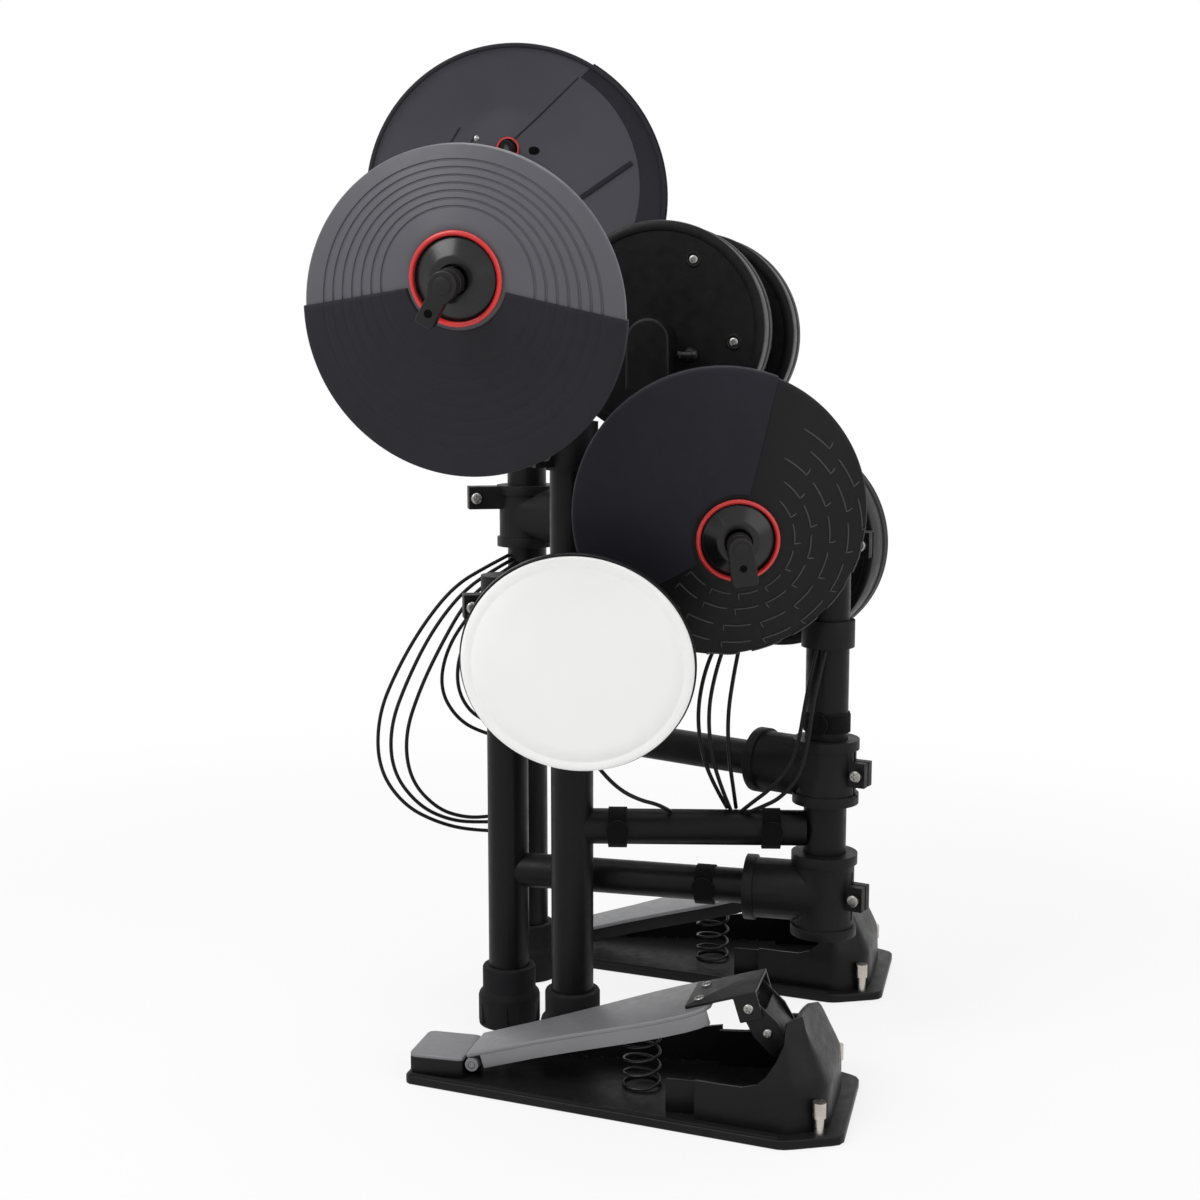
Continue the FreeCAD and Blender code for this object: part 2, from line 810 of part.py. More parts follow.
# The toms' bent rods and their clamps on the tom bar.
TOM_MOUNTS = {
    "tom_one": (size.tom_one_clamp, size.tom_bar_height + size.tom_one_leg_rise),
    "tom_two": (size.tom_two_clamp, size.tom_bar_height + size.tom_two_leg_rise),
    "tom_three": (size.tom_three_clamp, size.tom_bar_height - size.tom_three_leg_drop),
}
tom_rods = []
tom_clamps = []
for tom, (along, leg_height) in TOM_MOUNTS.items():
    place = tom_places[tom]
    top = hole_top(place, size.boss_shift) - UP * float(size.running_gap)
    corner = point(top.x, top.y, leg_height)
    seat = raised(FAR, size.tom_bar_height) + bar_axis * float(along)
    foot_end = point(seat.x, seat.y, leg_height)
    leg_axis = (foot_end - corner).normalize()
    socket_start = foot_end - leg_axis * (float(size.socket_length) / 2)
    stop = foot_end + leg_axis * (float(size.socket_length) / 2)
    path, bends = rounded_path([top, corner, stop], size.pad_rod_bend)
    tom_rods.append(solid_piece(swept(path, size.pad_rod_diameter)))
    tom_clamps.append(rod_socket(socket_start, leg_axis, seat, bar_axis, ARM_RADIUS))
piece(group(*tom_rods), "tom_rods")
piece(group(*tom_clamps, far_clamp), "far_clamps")
piece(group(near_clamp, hub_clamp, hub_collar, snare_clamp), "near_clamps")
piece(group(near_clamp_screw, hub_clamp_screw), "near_screws")
piece(group(*hub_tee_screws, *bar_tee_screws, far_clamp_screw), "far_screws")

# Cymbals. The mount is off the plate's middle, away from the rubber playing zone.


def cymbal_place(x, y, z, angles, zone_down):
    """The mount's place: its Z is the playing direction and its -Y points to the playing zone."""
    out = facing(angles)
    level = aimed(point(x, y, z), out)
    across, up = zone_down
    down = level.Rotation.multVec(FreeCAD.Vector(across, up, 0))
    return aimed(point(x, y, z), out, -down)


def ring_at(radius, shift, height):
    item = doc.addObject("Part::Circle", "Circle")
    bind(item, "Radius", radius)
    item.Placement.Base = point(0, shift, height)
    return item


def dome(radius, offset, height, flat):
    """A leaning cone frustum from the rim up to the flat round the mount."""
    item = doc.addObject("Part::Loft", "Dome")
    item.Sections = [ring_at(flat, 0, height), ring_at(radius, -offset, height - size.cymbal_depth)]
    item.Solid = True
    item.Ruled = True
    return item


def cymbal(label, diameter, offset, zone_reach, place, nut_place):
    zone_angle, zone_turn = zone_reach
    radius = diameter / 2
    flat = size.cymbal_flat_diameter / 2
    low = -size.cymbal_depth
    rim_base = low - size.cymbal_rim_height
    rim = cylinder(radius, size.cymbal_rim_height, point(0, -offset, rim_base))
    hollow = cylinder(radius - size.cymbal_rim_wall, size.cymbal_rim_height, point(0, -offset, rim_base))
    under = dome(radius - size.cymbal_rim_wall, offset, -size.cymbal_thickness, flat)
    cup = doc.addObject("Part::Cone", "Cup")
    bind(cup, "Radius1", size.cup_diameter / 2)
    bind(cup, "Radius2", size.cup_top_diameter / 2)
    bind(cup, "Height", size.cup_height)
    bore_reach = size.cup_height + size.cymbal_thickness + size.cut_overrun * 2
    bore_start = point(0, 0, -size.cymbal_thickness - size.cut_overrun)
    bore = cylinder(size.pivot_diameter / 2 + size.running_gap, bore_reach, bore_start)
    plate = cut(fuse(dome(radius, offset, 0, flat), rim, cup), under, hollow, bore)
    piece(plate, f"{label}_plate", place)
    skin = dome(radius + size.zone_lip, offset, size.seat_gap + size.zone_thickness, flat)
    lower = dome(radius + size.zone_lip, offset, size.seat_gap, flat)
    sector = cylinder(diameter, size.cymbal_depth * 4, point(0, 0, -size.cymbal_depth * 2), UP, zone_angle)
    sector.Placement = FreeCAD.Placement(
        sector.Placement.Base, FreeCAD.Rotation(UP, zone_turn - 90 - zone_angle / 2)
    )
    centre_gap = cylinder(flat, size.cymbal_depth, point(0, 0, -size.cymbal_depth / 2))
    zone = cut(common(cut(skin, lower), sector), centre_gap)
    piece(zone, f"{label}_zone", place)
    ring = doc.addObject("Part::Torus", "Ring")
    bind(ring, "Radius1", size.ring_diameter / 2)
    bind(ring, "Radius2", size.ring_wire / 2)
    ring.Placement.Base = point(0, 0, size.ring_wire / 2 + size.seat_gap)
    ring_place = place.multiply(ring.Placement)
    piece(ring, f"{label}_ring", ring_place)
    hub = cylinder(size.wingnut_diameter / 2, size.wingnut_height, point(0, 0, size.wingnut_lift))
    blade_middle = size.wingnut_lift + size.wingnut_height - size.wingnut_blade_height / 4
    blade = box(
        size.wingnut_blade_thickness,
        size.wingnut_blade_length,
        size.wingnut_blade_height / 2,
        point(0, -size.wingnut_blade_length / 4, blade_middle + size.wingnut_blade_height / 4),
    )
    nut_bore = cylinder(size.cymbal_rod_diameter / 2 + size.running_gap, size.cymbal_rod_tip, point(0, 0, 0))
    piece(cut(fuse(hub, blade), nut_bore), f"{label}_wingnut", nut_place)


hihat_place = cymbal_place(size.hihat_x, size.hihat_y, size.hihat_z, HIHAT_FACING, HIHAT_ZONE_DOWN)
ride_place = cymbal_place(size.ride_x, size.ride_y, size.ride_z, RIDE_FACING, RIDE_ZONE_DOWN)
crash_height = far_top + size.crash_rise
crash_place = cymbal_place(size.crash_x, size.crash_y, crash_height, CRASH_FACING, CRASH_ZONE_DOWN)
hihat_nut = cymbal_place(size.hihat_x, size.hihat_y, size.hihat_z, HIHAT_FACING, HIHAT_NUT_DOWN)
ride_nut = cymbal_place(size.ride_x, size.ride_y, size.ride_z, RIDE_FACING, RIDE_NUT_DOWN)
hihat_zone = (HIHAT_ZONE_ANGLE, HIHAT_ZONE_TURN)
cymbal("hihat", size.hihat_diameter, size.hihat_offset, hihat_zone, hihat_place, hihat_nut)
ride_zone = (RIDE_ZONE_ANGLE, RIDE_ZONE_TURN)
cymbal("ride", size.ride_diameter, size.ride_offset, ride_zone, ride_place, ride_nut)
crash_zone = (CRASH_ZONE_ANGLE, CRASH_ZONE_TURN)
cymbal("crash", size.crash_diameter, size.crash_offset, crash_zone, crash_place, crash_place)


def cymbal_rod(post, top, place, neck, climb, bend):
    """A bent rod from a post's top clamp to a cymbal's mount, with the round rubber pivot on it."""
    out = place.Rotation.multVec(UP)
    start = raised(post, top - size.cymbal_rod_seat)
    rise = raised(post, top + climb)
    elbow = place.Base - out * float(neck)
    tip = place.Base + out * float(size.cymbal_rod_tip)
    path, bends = rounded_path([start, rise, elbow, tip], bend)
    bar = swept(path, size.cymbal_rod_diameter)
    pivot = Part.makeSphere(float(size.pivot_diameter) / 2, place.Base)
    return solid_piece(bar.fuse(pivot).removeSplitter())


hihat_rod = cymbal_rod(
    NEAR, size.near_top, hihat_place, size.cymbal_rod_neck, size.cymbal_rod_rise, size.cymbal_rod_bend
)
ride_rod = cymbal_rod(
    HUB, size.hub_top, ride_place, size.cymbal_rod_neck, size.ride_rod_rise, size.ride_rod_bend
)
crash_rod = cymbal_rod(
    FAR, far_top, crash_place, size.crash_rod_standoff, size.cymbal_rod_rise, size.cymbal_rod_bend
)
piece(group(hihat_rod, ride_rod, snare_rod), "near_rods")
piece(crash_rod, "crash_rod")

# Hook-and-loop straps on the near arm and on the hub post.


def strap(place, axis, radius, tab_out):
    """A band round a tube with a round tab lying against its front."""
    start = place - axis * (float(size.strap_width) / 2)
    inner = radius + size.seat_gap
    band = cylinder(inner + size.strap_thickness, size.strap_width, start, axis)
    tab = cylinder(size.strap_tab_length / 2, size.strap_thickness, place + tab_out * float(inner), tab_out)
    hole = cylinder(inner, size.strap_width * 2, start - axis * (float(size.strap_width) / 2), axis)
    return cut(fuse(band, tab), hole)


near_arm_start = raised(NEAR, size.near_arm_height)
arm_side = arm_axis(NEAR).cross(UP)
arm_straps = [
    strap(near_arm_start + arm_axis(NEAR) * float(along), arm_axis(NEAR), ARM_RADIUS, arm_side)
    for along in (size.near_strap_first, size.near_strap_second)
]
hub_strap = strap(raised(HUB, size.hub_strap_place + size.strap_width / 2), UP, TUBE_RADIUS, arm_side)
piece(group(*arm_straps, hub_strap), "near_straps")

# Pedals. Each is drawn with its heel at the origin, its length along X and its width along Y.
HEEL_HALF = size.pedal_heel_width / 2
TOE_HALF = size.pedal_toe_width / 2
TOE_START = size.pedal_length - size.pedal_toe_length
BOARD_LENGTH = size.pedal_length - size.board_toe_gap
PIN = point(size.heel_pin_place, 0, size.heel_pin_height)
BOARD_TILT = FreeCAD.Placement(PIN, FreeCAD.Rotation(FreeCAD.Vector(0, 1, 0), -BOARD_SLOPE))
SIDE = FreeCAD.Vector(0, 1, 0)


def mirrored(half):
    """A closed outline from one half of it, drawn on the negative side."""
    return half + [(along, -across) for along, across in reversed(half)]


def half_width(along):
    """Half the base's width at a distance from the heel."""
    return HEEL_HALF + (TOE_HALF - HEEL_HALF) * (along / TOE_START)


def pocket(body, sketch, depth, upward=False):
    """Cuts a sketch away, right through to both sides or for a depth along +Z."""
    item = body.newObject("PartDesign::Pocket", "Pocket")
    item.Profile = sketch
    if upward:
        item.Reversed = True
        bind(item, "Length", depth)
    else:
        item.SideType = "Symmetric"
        bind(item, "Length", depth)
    before = body.Shape.Volume
    doc.recompute()
    if not body.Shape.Volume < before:
        raise RuntimeError("a pocket of the pedal cut nothing")


def level_outline(corners, height):
    """A closed outline drawn level at a height."""
    item = doc.addObject("Part::Polygon", "Outline")
    item.Nodes = [point(along, across, height) for along, across in corners]
    item.Close = True
    return item


def leaning(low_half, low, high_half, high):
    """A solid with leaning sides between two level outlines, each given as one half."""
    item = doc.addObject("Part::Loft", "Leaning")
    item.Sections = [level_outline(mirrored(low_half), low), level_outline(mirrored(high_half), high)]
    item.Solid = True
    item.Ruled = True
    return item


def pedal_base():
    over = size.cut_overrun
    plate = size.pedal_plate
    flange = size.pedal_flange
    peak = size.pedal_peak_height
    body = padded(mirrored([
        (0, -HEEL_HALF),
        (TOE_START, -TOE_HALF),
        (size.pedal_length, size.pedal_corner - TOE_HALF),
    ]), "XY_Plane", plate)
    start = size.pedal_length - size.pedal_housing_length
    end = size.pedal_length - flange
    housing = outline(body, "XY_Plane", mirrored([
        (start, flange - half_width(start)),
        (TOE_START, flange - TOE_HALF),
        (end, flange + size.pedal_corner - TOE_HALF),
    ]))
    cheeks = body.newObject("PartDesign::Pad", "Cheeks")
    cheeks.Profile = housing
    bind(cheeks, "Length", size.pedal_housing_height)
    doc.recompute()
    wall = size.pedal_wall
    inset = flange + wall
    well = outline(body, "XY_Plane", mirrored([
        (start - over, inset - half_width(start)),
        (TOE_START, inset - TOE_HALF),
        (end - wall, inset + size.pedal_corner - TOE_HALF),
    ]), lift=plate)
    pocket(body, well, peak, upward=True)
    swoop_start = size.pedal_length - size.pedal_swoop_inset
    peak_start = size.pedal_length - size.pedal_peak_inset
    peak_end = peak_start + size.pedal_peak_length
    fin = size.pedal_fin_width / 2
    hood = leaning([
        (swoop_start, flange - half_width(swoop_start)),
        (TOE_START, flange - TOE_HALF),
        (end, flange + size.pedal_corner - TOE_HALF),
    ], size.pedal_housing_height, [
        (peak_start, -fin),
        (peak_end - size.pedal_peak_length / 2, -fin),
        (peak_end, wall - fin),
    ], peak)
    hollow = leaning([
        (swoop_start - over, inset - half_width(swoop_start)),
        (TOE_START, inset - TOE_HALF),
        (end - wall, inset + size.pedal_corner - TOE_HALF),
    ], size.pedal_housing_height, [
        (peak_start - over, wall - fin),
        (peak_start, wall - fin),
        (peak_end - wall, wall * 2 - fin),
    ], peak - wall)
    step_long = size.pedal_step_length
    step_tall = size.pedal_step_height
    far_side = half_width(swoop_start) - inset + wall / 2
    step_middle = point(swoop_start - step_long / 2, far_side, size.pedal_housing_height + step_tall / 2)
    step = box(step_long, wall, step_tall + over, step_middle - UP * float(over / 2))
    result = fuse(body, cut(hood, hollow), step)
    for side in (-1, 1):
        spot = spur_spot(side)
        room = size.spur_head_diameter / 2 + size.spur_clearance
        recess = cylinder(room, peak, spot + UP * float(plate))
        thread = size.spur_diameter / 2 + size.running_gap
        hole = cylinder(thread, plate + over * 2, spot - UP * float(over))
        result = cut(result, recess, hole)
    return result


def spur_spot(side):
    """Where a spur screw stands, on the toe's left or right corner."""
    across = TOE_HALF - size.pedal_corner
    return point(size.pedal_length - size.spur_inset, side * across, 0)


def spurs():
    screws = []
    for side in (-1, 1):
        foot_point = spur_spot(side) + UP * float(size.spur_lift)
        head_start = foot_point + UP * float(size.spur_length - size.spur_head_height)
        shank = cylinder(size.spur_diameter / 2, size.spur_length, foot_point)
        head = cylinder(size.spur_head_diameter / 2, size.spur_head_height, head_start)
        screws.append(fuse(shank, head))
    return group(*screws)


def heel_plate():
    """The fixed heel block with its hinge knuckle and pin."""
    long = size.heel_length - size.heel_margin
    tall = size.heel_height - size.pedal_plate
    wide = size.pedal_heel_width - size.heel_margin * 2
    middle = point(size.heel_margin + long / 2, 0, size.pedal_plate + tall / 2)
    block = box(long, wide, tall, middle)
    tongue_length = size.heel_pin_place - size.heel_length / 2
    tongue_middle = point(size.heel_pin_place - tongue_length / 2, 0, size.heel_pin_height)
    tongue = box(tongue_length, size.knuckle_width, size.heel_pin_diameter, tongue_middle)
    knuckle_start = PIN - SIDE * (float(size.knuckle_width) / 2)
    knuckle = cylinder(size.knuckle_diameter / 2, size.knuckle_width, knuckle_start, SIDE)
    pin_start = PIN - SIDE * (float(size.board_heel_width) / 2)
    pin = cylinder(size.heel_pin_diameter / 2, size.board_heel_width, pin_start, SIDE)
    return fuse(block, tongue, knuckle, pin)


def board_half(along):
    growth = (size.board_toe_width - size.board_heel_width) / 2
    return size.board_heel_width / 2 + growth * (along / BOARD_LENGTH)


def board_slab(start, end, inset, height, lift):
    """A tapering slab of the footboard in the board's own frame, which starts at the hinge pin."""
    half = [(start, inset - board_half(start)), (end, inset - board_half(end))]
    slab = padded(mirrored(half), "XY_Plane", height)
    slab.Placement = FreeCAD.Placement(point(0, 0, lift), FreeCAD.Rotation())
    return slab


def footboard():
    end = BOARD_LENGTH
    begin = size.knuckle_diameter * 1.5
    top = board_slab(-size.heel_pin_diameter / 2, end, 0, size.board_thickness, size.board_lift)
    low = size.board_lift - size.board_flange
    skirt = board_slab(begin, end, 0, size.board_flange, low)
    over = size.cut_overrun
    hollow = board_slab(begin - over, end + over, size.board_skirt, size.board_flange, low)
    sides = cut(skirt, hollow)
    knuckles = []
    ring_width = (size.board_heel_width - size.knuckle_width) / 2 - size.running_gap
    for side in (-1, 1):
        inner = size.knuckle_width / 2 + size.running_gap
        spot = point(0, side * (inner + ring_width / 2) - ring_width / 2, 0)
        knuckles.append(cylinder(size.knuckle_diameter / 2, ring_width, spot, SIDE))
    bore_start = point(0, -size.board_toe_width / 2, 0)
    bore_radius = size.heel_pin_diameter / 2 + size.running_gap
    bore = cylinder(bore_radius, size.board_toe_width, bore_start, SIDE)
    return cut(fuse(top, sides, *knuckles), bore)


LINK_PIN = point(
    BOARD_LENGTH - size.bracket_lap + size.bracket_length - size.link_pin_inset,
    0,
    size.board_lift + size.board_thickness + size.bracket_thickness - size.bracket_ear + size.link_pin_inset,
)


def toe_bracket():
    """The bent plate bolted on the footboard's end, with two ears for the link's pin."""
    start = BOARD_LENGTH - size.bracket_lap
    base = size.board_lift + size.board_thickness
    middle = point(start + size.bracket_length / 2, 0, base + size.bracket_thickness / 2)
    plate = box(size.bracket_length, size.bracket_width, size.bracket_thickness, middle)
    ears = []
    ear_length = size.link_pin_inset * 2
    for side in (-1, 1):
        across = side * (size.bracket_width - size.bracket_thickness) / 2
        ear_middle = point(LINK_PIN.x, across, base + size.bracket_thickness - size.bracket_ear / 2)
        ears.append(box(ear_length, size.bracket_thickness, size.bracket_ear, ear_middle))
    hole_start = LINK_PIN - SIDE * float(size.bracket_width)
    hole_radius = size.link_pin_diameter / 2 + size.running_gap
    hole = cylinder(hole_radius, size.bracket_width * 2, hole_start, SIDE)
    return cut(fuse(plate, *ears), hole)


def toe_link():
    """Two side bars from the bracket's pin down to a cross roller in the toe housing."""
    wide = size.bracket_width - size.bracket_thickness * 2 - size.running_gap * 2
    turn = FreeCAD.Placement(LINK_PIN, FreeCAD.Rotation(SIDE, -LINK_SLOPE + BOARD_SLOPE))
    bars = []
    for side in (-1, 1):
        middle = point(size.link_length / 2, side * (wide - size.link_thickness) / 2, 0)
        bars.append(box(size.link_length, size.link_thickness, size.link_width, middle, turn))
    pin_start = LINK_PIN - SIDE * (float(size.bracket_width) / 2)
    pin = cylinder(size.link_pin_diameter / 2, size.bracket_width, pin_start, SIDE)
    roller_middle = turn.multVec(point(size.link_length - size.link_width / 2, 0, 0))
    roller = cylinder(size.link_width / 2, wide, roller_middle - SIDE * (float(wide) / 2), SIDE)
    return fuse(*bars, pin, roller)


def arc_from(start, tangent, end):
    """The arc that leaves start along a tangent and reaches end."""
    chord = end - start
    along = FreeCAD.Vector(chord).normalize()
    half_turn = math.acos(max(-1.0, min(1.0, tangent.dot(along))))
    bulge = (tangent - along * tangent.dot(along)).normalize()
    middle = start + chord * 0.5 + bulge * (chord.Length / 2 * math.tan(half_turn / 2))
    return Part.Arc(start, middle, end).toShape()


def biarc(start, leave, end, arrive):
    """Two arcs that join smoothly, from one point and direction to another."""
    span = end - start
    both = leave + arrive
    spread = 2 * (1 - leave.dot(arrive))
    reach = (math.sqrt(span.dot(both) ** 2 + spread * span.dot(span)) - span.dot(both)) / spread
    middle = (start + leave * reach + end - arrive * reach) * 0.5
    last = arc_from(end, -arrive, middle)
    last.reverse()
    return [arc_from(start, leave, middle), last]


SPRING_STEPS_PER_TURN = 4


def spring():
    """The footboard's return spring: one wire, wound from the base up to the board."""
    radius = float(size.spring_diameter - size.spring_wire) / 2
    slope = math.tan(math.radians(BOARD_SLOPE))
    centre = point(size.spring_place, 0, 0)
    edge = float(size.spring_place - size.heel_pin_place) - radius - float(size.spring_wire)
    lift = float(size.board_lift) / math.cos(math.radians(BOARD_SLOPE))
    roof = float(size.heel_pin_height) + edge * slope + lift
    low = float(size.pedal_plate + size.running_gap + size.spring_wire / 2)
    high = roof - float(size.running_gap + size.spring_wire / 2)
    rise = high - low
    count = SPRING_TURNS * SPRING_STEPS_PER_TURN
    turn = 2 * math.pi / SPRING_STEPS_PER_TURN

    def wire_point(step):
        angle = step * turn
        return centre + point(radius * math.cos(angle), radius * math.sin(angle), low + rise * step / count)

    def wire_way(step):
        angle = step * turn
        pace = rise / count / turn
        return point(-radius * math.sin(angle), radius * math.cos(angle), pace).normalize()

    edges = []
    for step in range(count):
        edges += biarc(wire_point(step), wire_way(step), wire_point(step + 1), wire_way(step + 1))
    gap = rise / SPRING_TURNS - float(size.spring_wire)
    print("spring: least gap between turns", round(gap, 2))
    path = Part.Wire(edges)
    ring = Part.Circle(wire_point(0), wire_way(0), float(size.spring_wire) / 2)
    return solid_piece(path.makePipeShell([Part.Wire(ring.toShape())], True, False))


def pedal(label, x, y):
    place = FreeCAD.Placement(point(x, y, 0), FreeCAD.Rotation(UP, PEDAL_HEADING))
    board_place = place.multiply(BOARD_TILT)
    piece(pedal_base(), f"{label}_base", place)
    piece(heel_plate(), f"{label}_heel_plate", place)
    piece(footboard(), f"{label}_footboard", board_place)
    piece(toe_bracket(), f"{label}_toe_bracket", board_place)
    piece(toe_link(), f"{label}_toe_link", board_place)
    piece(spring(), f"{label}_spring", place)
    piece(spurs(), f"{label}_spurs", place)


pedal("near_pedal", size.near_pedal_x, size.near_pedal_y)
pedal("far_pedal", size.far_pedal_x, size.far_pedal_y)

# Cable routes, as points chosen by hand.
FAR_CABLES = [
    [
        (-120.0, -3.3, 432.5), (-107, -24, 423), (-90, -55, 406), (-82, -84, 371),
        (-78, -110, 327), (-78, -130, 280), (-80, -131, 227), (-86, -107, 188),
        (-96, -72, 167), (-110, -38, 156), (-124.3, -4.7, 151.8),
    ],
    [
        (-115.8, 0.0, 428.5), (-98, -22, 418), (-80, -49, 399), (-70, -76, 364),
        (-66, -99, 319), (-66, -117, 272), (-70, -116, 226), (-78, -92, 190),
        (-90, -62, 172), (-105, -32, 166), (-119.6, -2.4, 163.8),
    ],
    [
        (-112.5, 4.2, 425.5), (-90, -17, 414), (-70, -43, 393), (-60, -65, 355),
        (-54, -86, 312), (-56, -102, 265), (-62, -98, 220), (-72, -74, 189),
        (-86, -48, 176), (-101, -22, 173), (-115.9, 0.4, 174.1),
    ],
    [
        (-109.9, 9.0, 420.4), (-96, -13, 402), (-90, -40, 380), (-89, -64, 343),
        (-92, -71, 303), (-100, -54, 271), (-110, -28, 255), (-119.8, -3.1, 246.6),
    ],
    [
        (-109.1, 15.1, 415.5), (-92, -8, 397), (-84, -30, 377), (-80, -50, 344),
        (-84, -54, 308), (-94, -42, 280), (-105, -20, 266), (-115.5, 0.1, 258.6),
    ],
]
NEAR_CABLES = [
    [
        (94.5, 213.6, 488.4), (95, 211, 455), (97, 206, 425), (98, 199, 392),
        (100, 187, 359), (98, 180, 320), (92, 184, 279), (84, 194, 247),
        (73.3, 202.6, 225.8),
    ],
    [
        (93.5, 219.9, 490.3), (90, 214, 456), (88, 205, 425), (90, 191, 387),
        (90, 177, 354), (88, 171, 314), (84, 177, 275), (77, 189, 246),
        (67.2, 199.9, 226.0),
    ],
    [
        (91.5, 225.7, 494.1), (88, 221, 458), (85, 216, 424), (88, 210, 387),
        (90, 203, 352), (88, 198, 314), (82, 200, 275), (73, 205, 245),
        (64.4, 208.2, 225.0),
    ],
    [
        (91.8, 275.8, 373.2), (96, 269, 348), (99, 264, 322), (102, 260, 297),
        (104, 252, 271), (98, 235, 250), (87, 221, 236), (77.1, 212.2, 225.3),
    ],
    [
        (94.6, 282.5, 373.0), (100, 276, 348), (106, 270, 322), (110, 267, 296),
        (112, 260, 266), (104, 244, 244), (92, 229, 233), (79.3, 218.0, 224.7),
    ],
    [
        (95.5, 68.4, 303.9), (101, 75, 285), (110, 88, 268), (117, 104, 254),
        (115, 121, 245), (104, 134, 239), (91, 143, 232), (76.1, 148.9, 224.9),
    ],
]


def cables(label, routes):
    """Several leads of one bundle, each its own tube."""
    tubes = []
    for route in routes:
        path, bends = rounded_path([point(*stop) for stop in route])
        tube = swept(path, size.cable_diameter)
        section = math.pi * float(size.cable_diameter) ** 2 / 4
        print(label, "length", round(path.Length), "least bend", round(min(bends), 1),
              "volume share", round(tube.Volume / (section * path.Length), 3))
        tubes.append(solid_piece(tube))
    piece(group(*tubes), label)


cables("far_cables", FAR_CABLES)
cables("near_cables", NEAR_CABLES)


def write_parts():
    """Stops on any failed object, then writes each piece to its own file."""
    doc.recompute()
    for item in doc.Objects:
        if "Invalid" in item.State or "Error" in item.State:
            raise RuntimeError(f"{item.Name} failed: {item.State}")
    os.makedirs("parts", exist_ok=True)
    for item in pieces:
        shape = item.Shape
        if shape.isNull() or not shape.isValid() or not shape.Solids:
            raise RuntimeError(f"{item.Label} has no sound solid")
        shape.exportStep(f"parts/{item.Label}.step")
    print(len(pieces), "pieces")


write_parts()
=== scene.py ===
"""Looks of a folded electronic drum kit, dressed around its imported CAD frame."""
from math import asin, atan2, cos, hypot, pi, radians, sin

import bmesh
import bpy
from mathutils import Matrix, Vector


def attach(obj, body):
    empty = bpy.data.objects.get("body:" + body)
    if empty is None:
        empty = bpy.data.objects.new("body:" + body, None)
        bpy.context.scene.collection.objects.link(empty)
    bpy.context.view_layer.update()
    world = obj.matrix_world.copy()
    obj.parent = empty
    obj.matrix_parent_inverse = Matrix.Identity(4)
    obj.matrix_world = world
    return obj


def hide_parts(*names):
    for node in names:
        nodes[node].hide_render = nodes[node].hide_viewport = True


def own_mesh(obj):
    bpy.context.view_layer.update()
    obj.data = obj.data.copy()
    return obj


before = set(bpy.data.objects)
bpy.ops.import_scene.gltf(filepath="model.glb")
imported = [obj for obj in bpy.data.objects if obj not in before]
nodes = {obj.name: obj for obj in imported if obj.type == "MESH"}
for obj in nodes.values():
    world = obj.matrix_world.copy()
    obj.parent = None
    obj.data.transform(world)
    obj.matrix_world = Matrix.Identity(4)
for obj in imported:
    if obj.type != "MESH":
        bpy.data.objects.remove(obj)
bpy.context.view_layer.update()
MM = 0.001
UP = Vector((0, 0, 1))
# The radius, in millimetres, at which a solid turned form closes on its axis.
CORE = 0.01
# The cosine past which two directions count as one.
NEARLY_ALONG = 0.9998


# Places and outlines. They are in millimetres, and the mesh helpers turn them into metres.

def facing(heading, rise):
    """A unit vector from its heading about Z and its rise, in degrees."""
    a, e = radians(heading), radians(rise)
    return Vector((cos(e) * cos(a), cos(e) * sin(a), sin(e)))


def aimed(start, axis, across=UP):
    """A place at start whose own Z looks along axis and whose own Y leans to across."""
    along = Vector(axis).normalized()
    if abs(along.dot(across)) > NEARLY_ALONG:
        across = Vector((0, 1, 0))
    side = Vector(across).cross(along).normalized()
    rise = along.cross(side)
    turn = Matrix((side, rise, along)).transposed().to_4x4()
    return Matrix.Translation(Vector(start)) @ turn


def moved(place, x, y, z):
    return place @ Matrix.Translation((x, y, z))


def turn_about(axis, degrees):
    return Matrix.Rotation(radians(degrees), 4, axis)


def arc(radius, start, span, steps, x=0.0, y=0.0):
    """Points along an arc with both its ends, from angles in degrees."""
    angles = [radians(start + span * k / steps) for k in range(steps + 1)]
    return [(x + radius * cos(a), y + radius * sin(a)) for a in angles]


def circle(radius, count, x=0.0, y=0.0):
    return arc(radius, 0, 360, count, x, y)[:-1]


def mirrored(half):
    """A whole outline from its half on one side of the X axis."""
    return half + [(x, -y) for x, y in reversed(half)]


# Shader helpers.
NOISE, CELLS = "TexNoise", "TexVoronoi"


def fill(tree, node, **values):
    """Sets a shader node's inputs and settings by name, and links a value that is a socket."""
    for key, value in values.items():
        label = key.replace("_", " ")
        if label not in node.inputs:
            setattr(node, key, value)
        elif isinstance(value, bpy.types.NodeSocket):
            tree.links.new(value, node.inputs[label])
        else:
            node.inputs[label].default_value = value
    return node


def add(tree, kind, **values):
    return fill(tree, tree.nodes.new(f"ShaderNode{kind}"), **values)


def link_all(tree, sources, sockets):
    for source, socket in zip(sources, sockets):
        tree.links.new(source, socket)


def combined(tree, operation, first, second):
    """The socket that holds two sockets' product, or the larger of them."""
    node = add(tree, "Math", operation=operation)
    link_all(tree, (first, second), node.inputs)
    return node.outputs["Value"]


def blended(tree, amount, first, second, output):
    """Shows the first shader where the amount is nought and the second where it is one."""
    mix = add(tree, "MixShader", Fac=amount)
    link_all(tree, (first, second), mix.inputs[1:])
    fill(tree, output, Surface=mix.outputs["Shader"])


def new_material(name):
    material = bpy.data.materials.new(name)
    material.use_nodes = True
    tree = material.node_tree
    return material, tree, tree.nodes["Principled BSDF"]


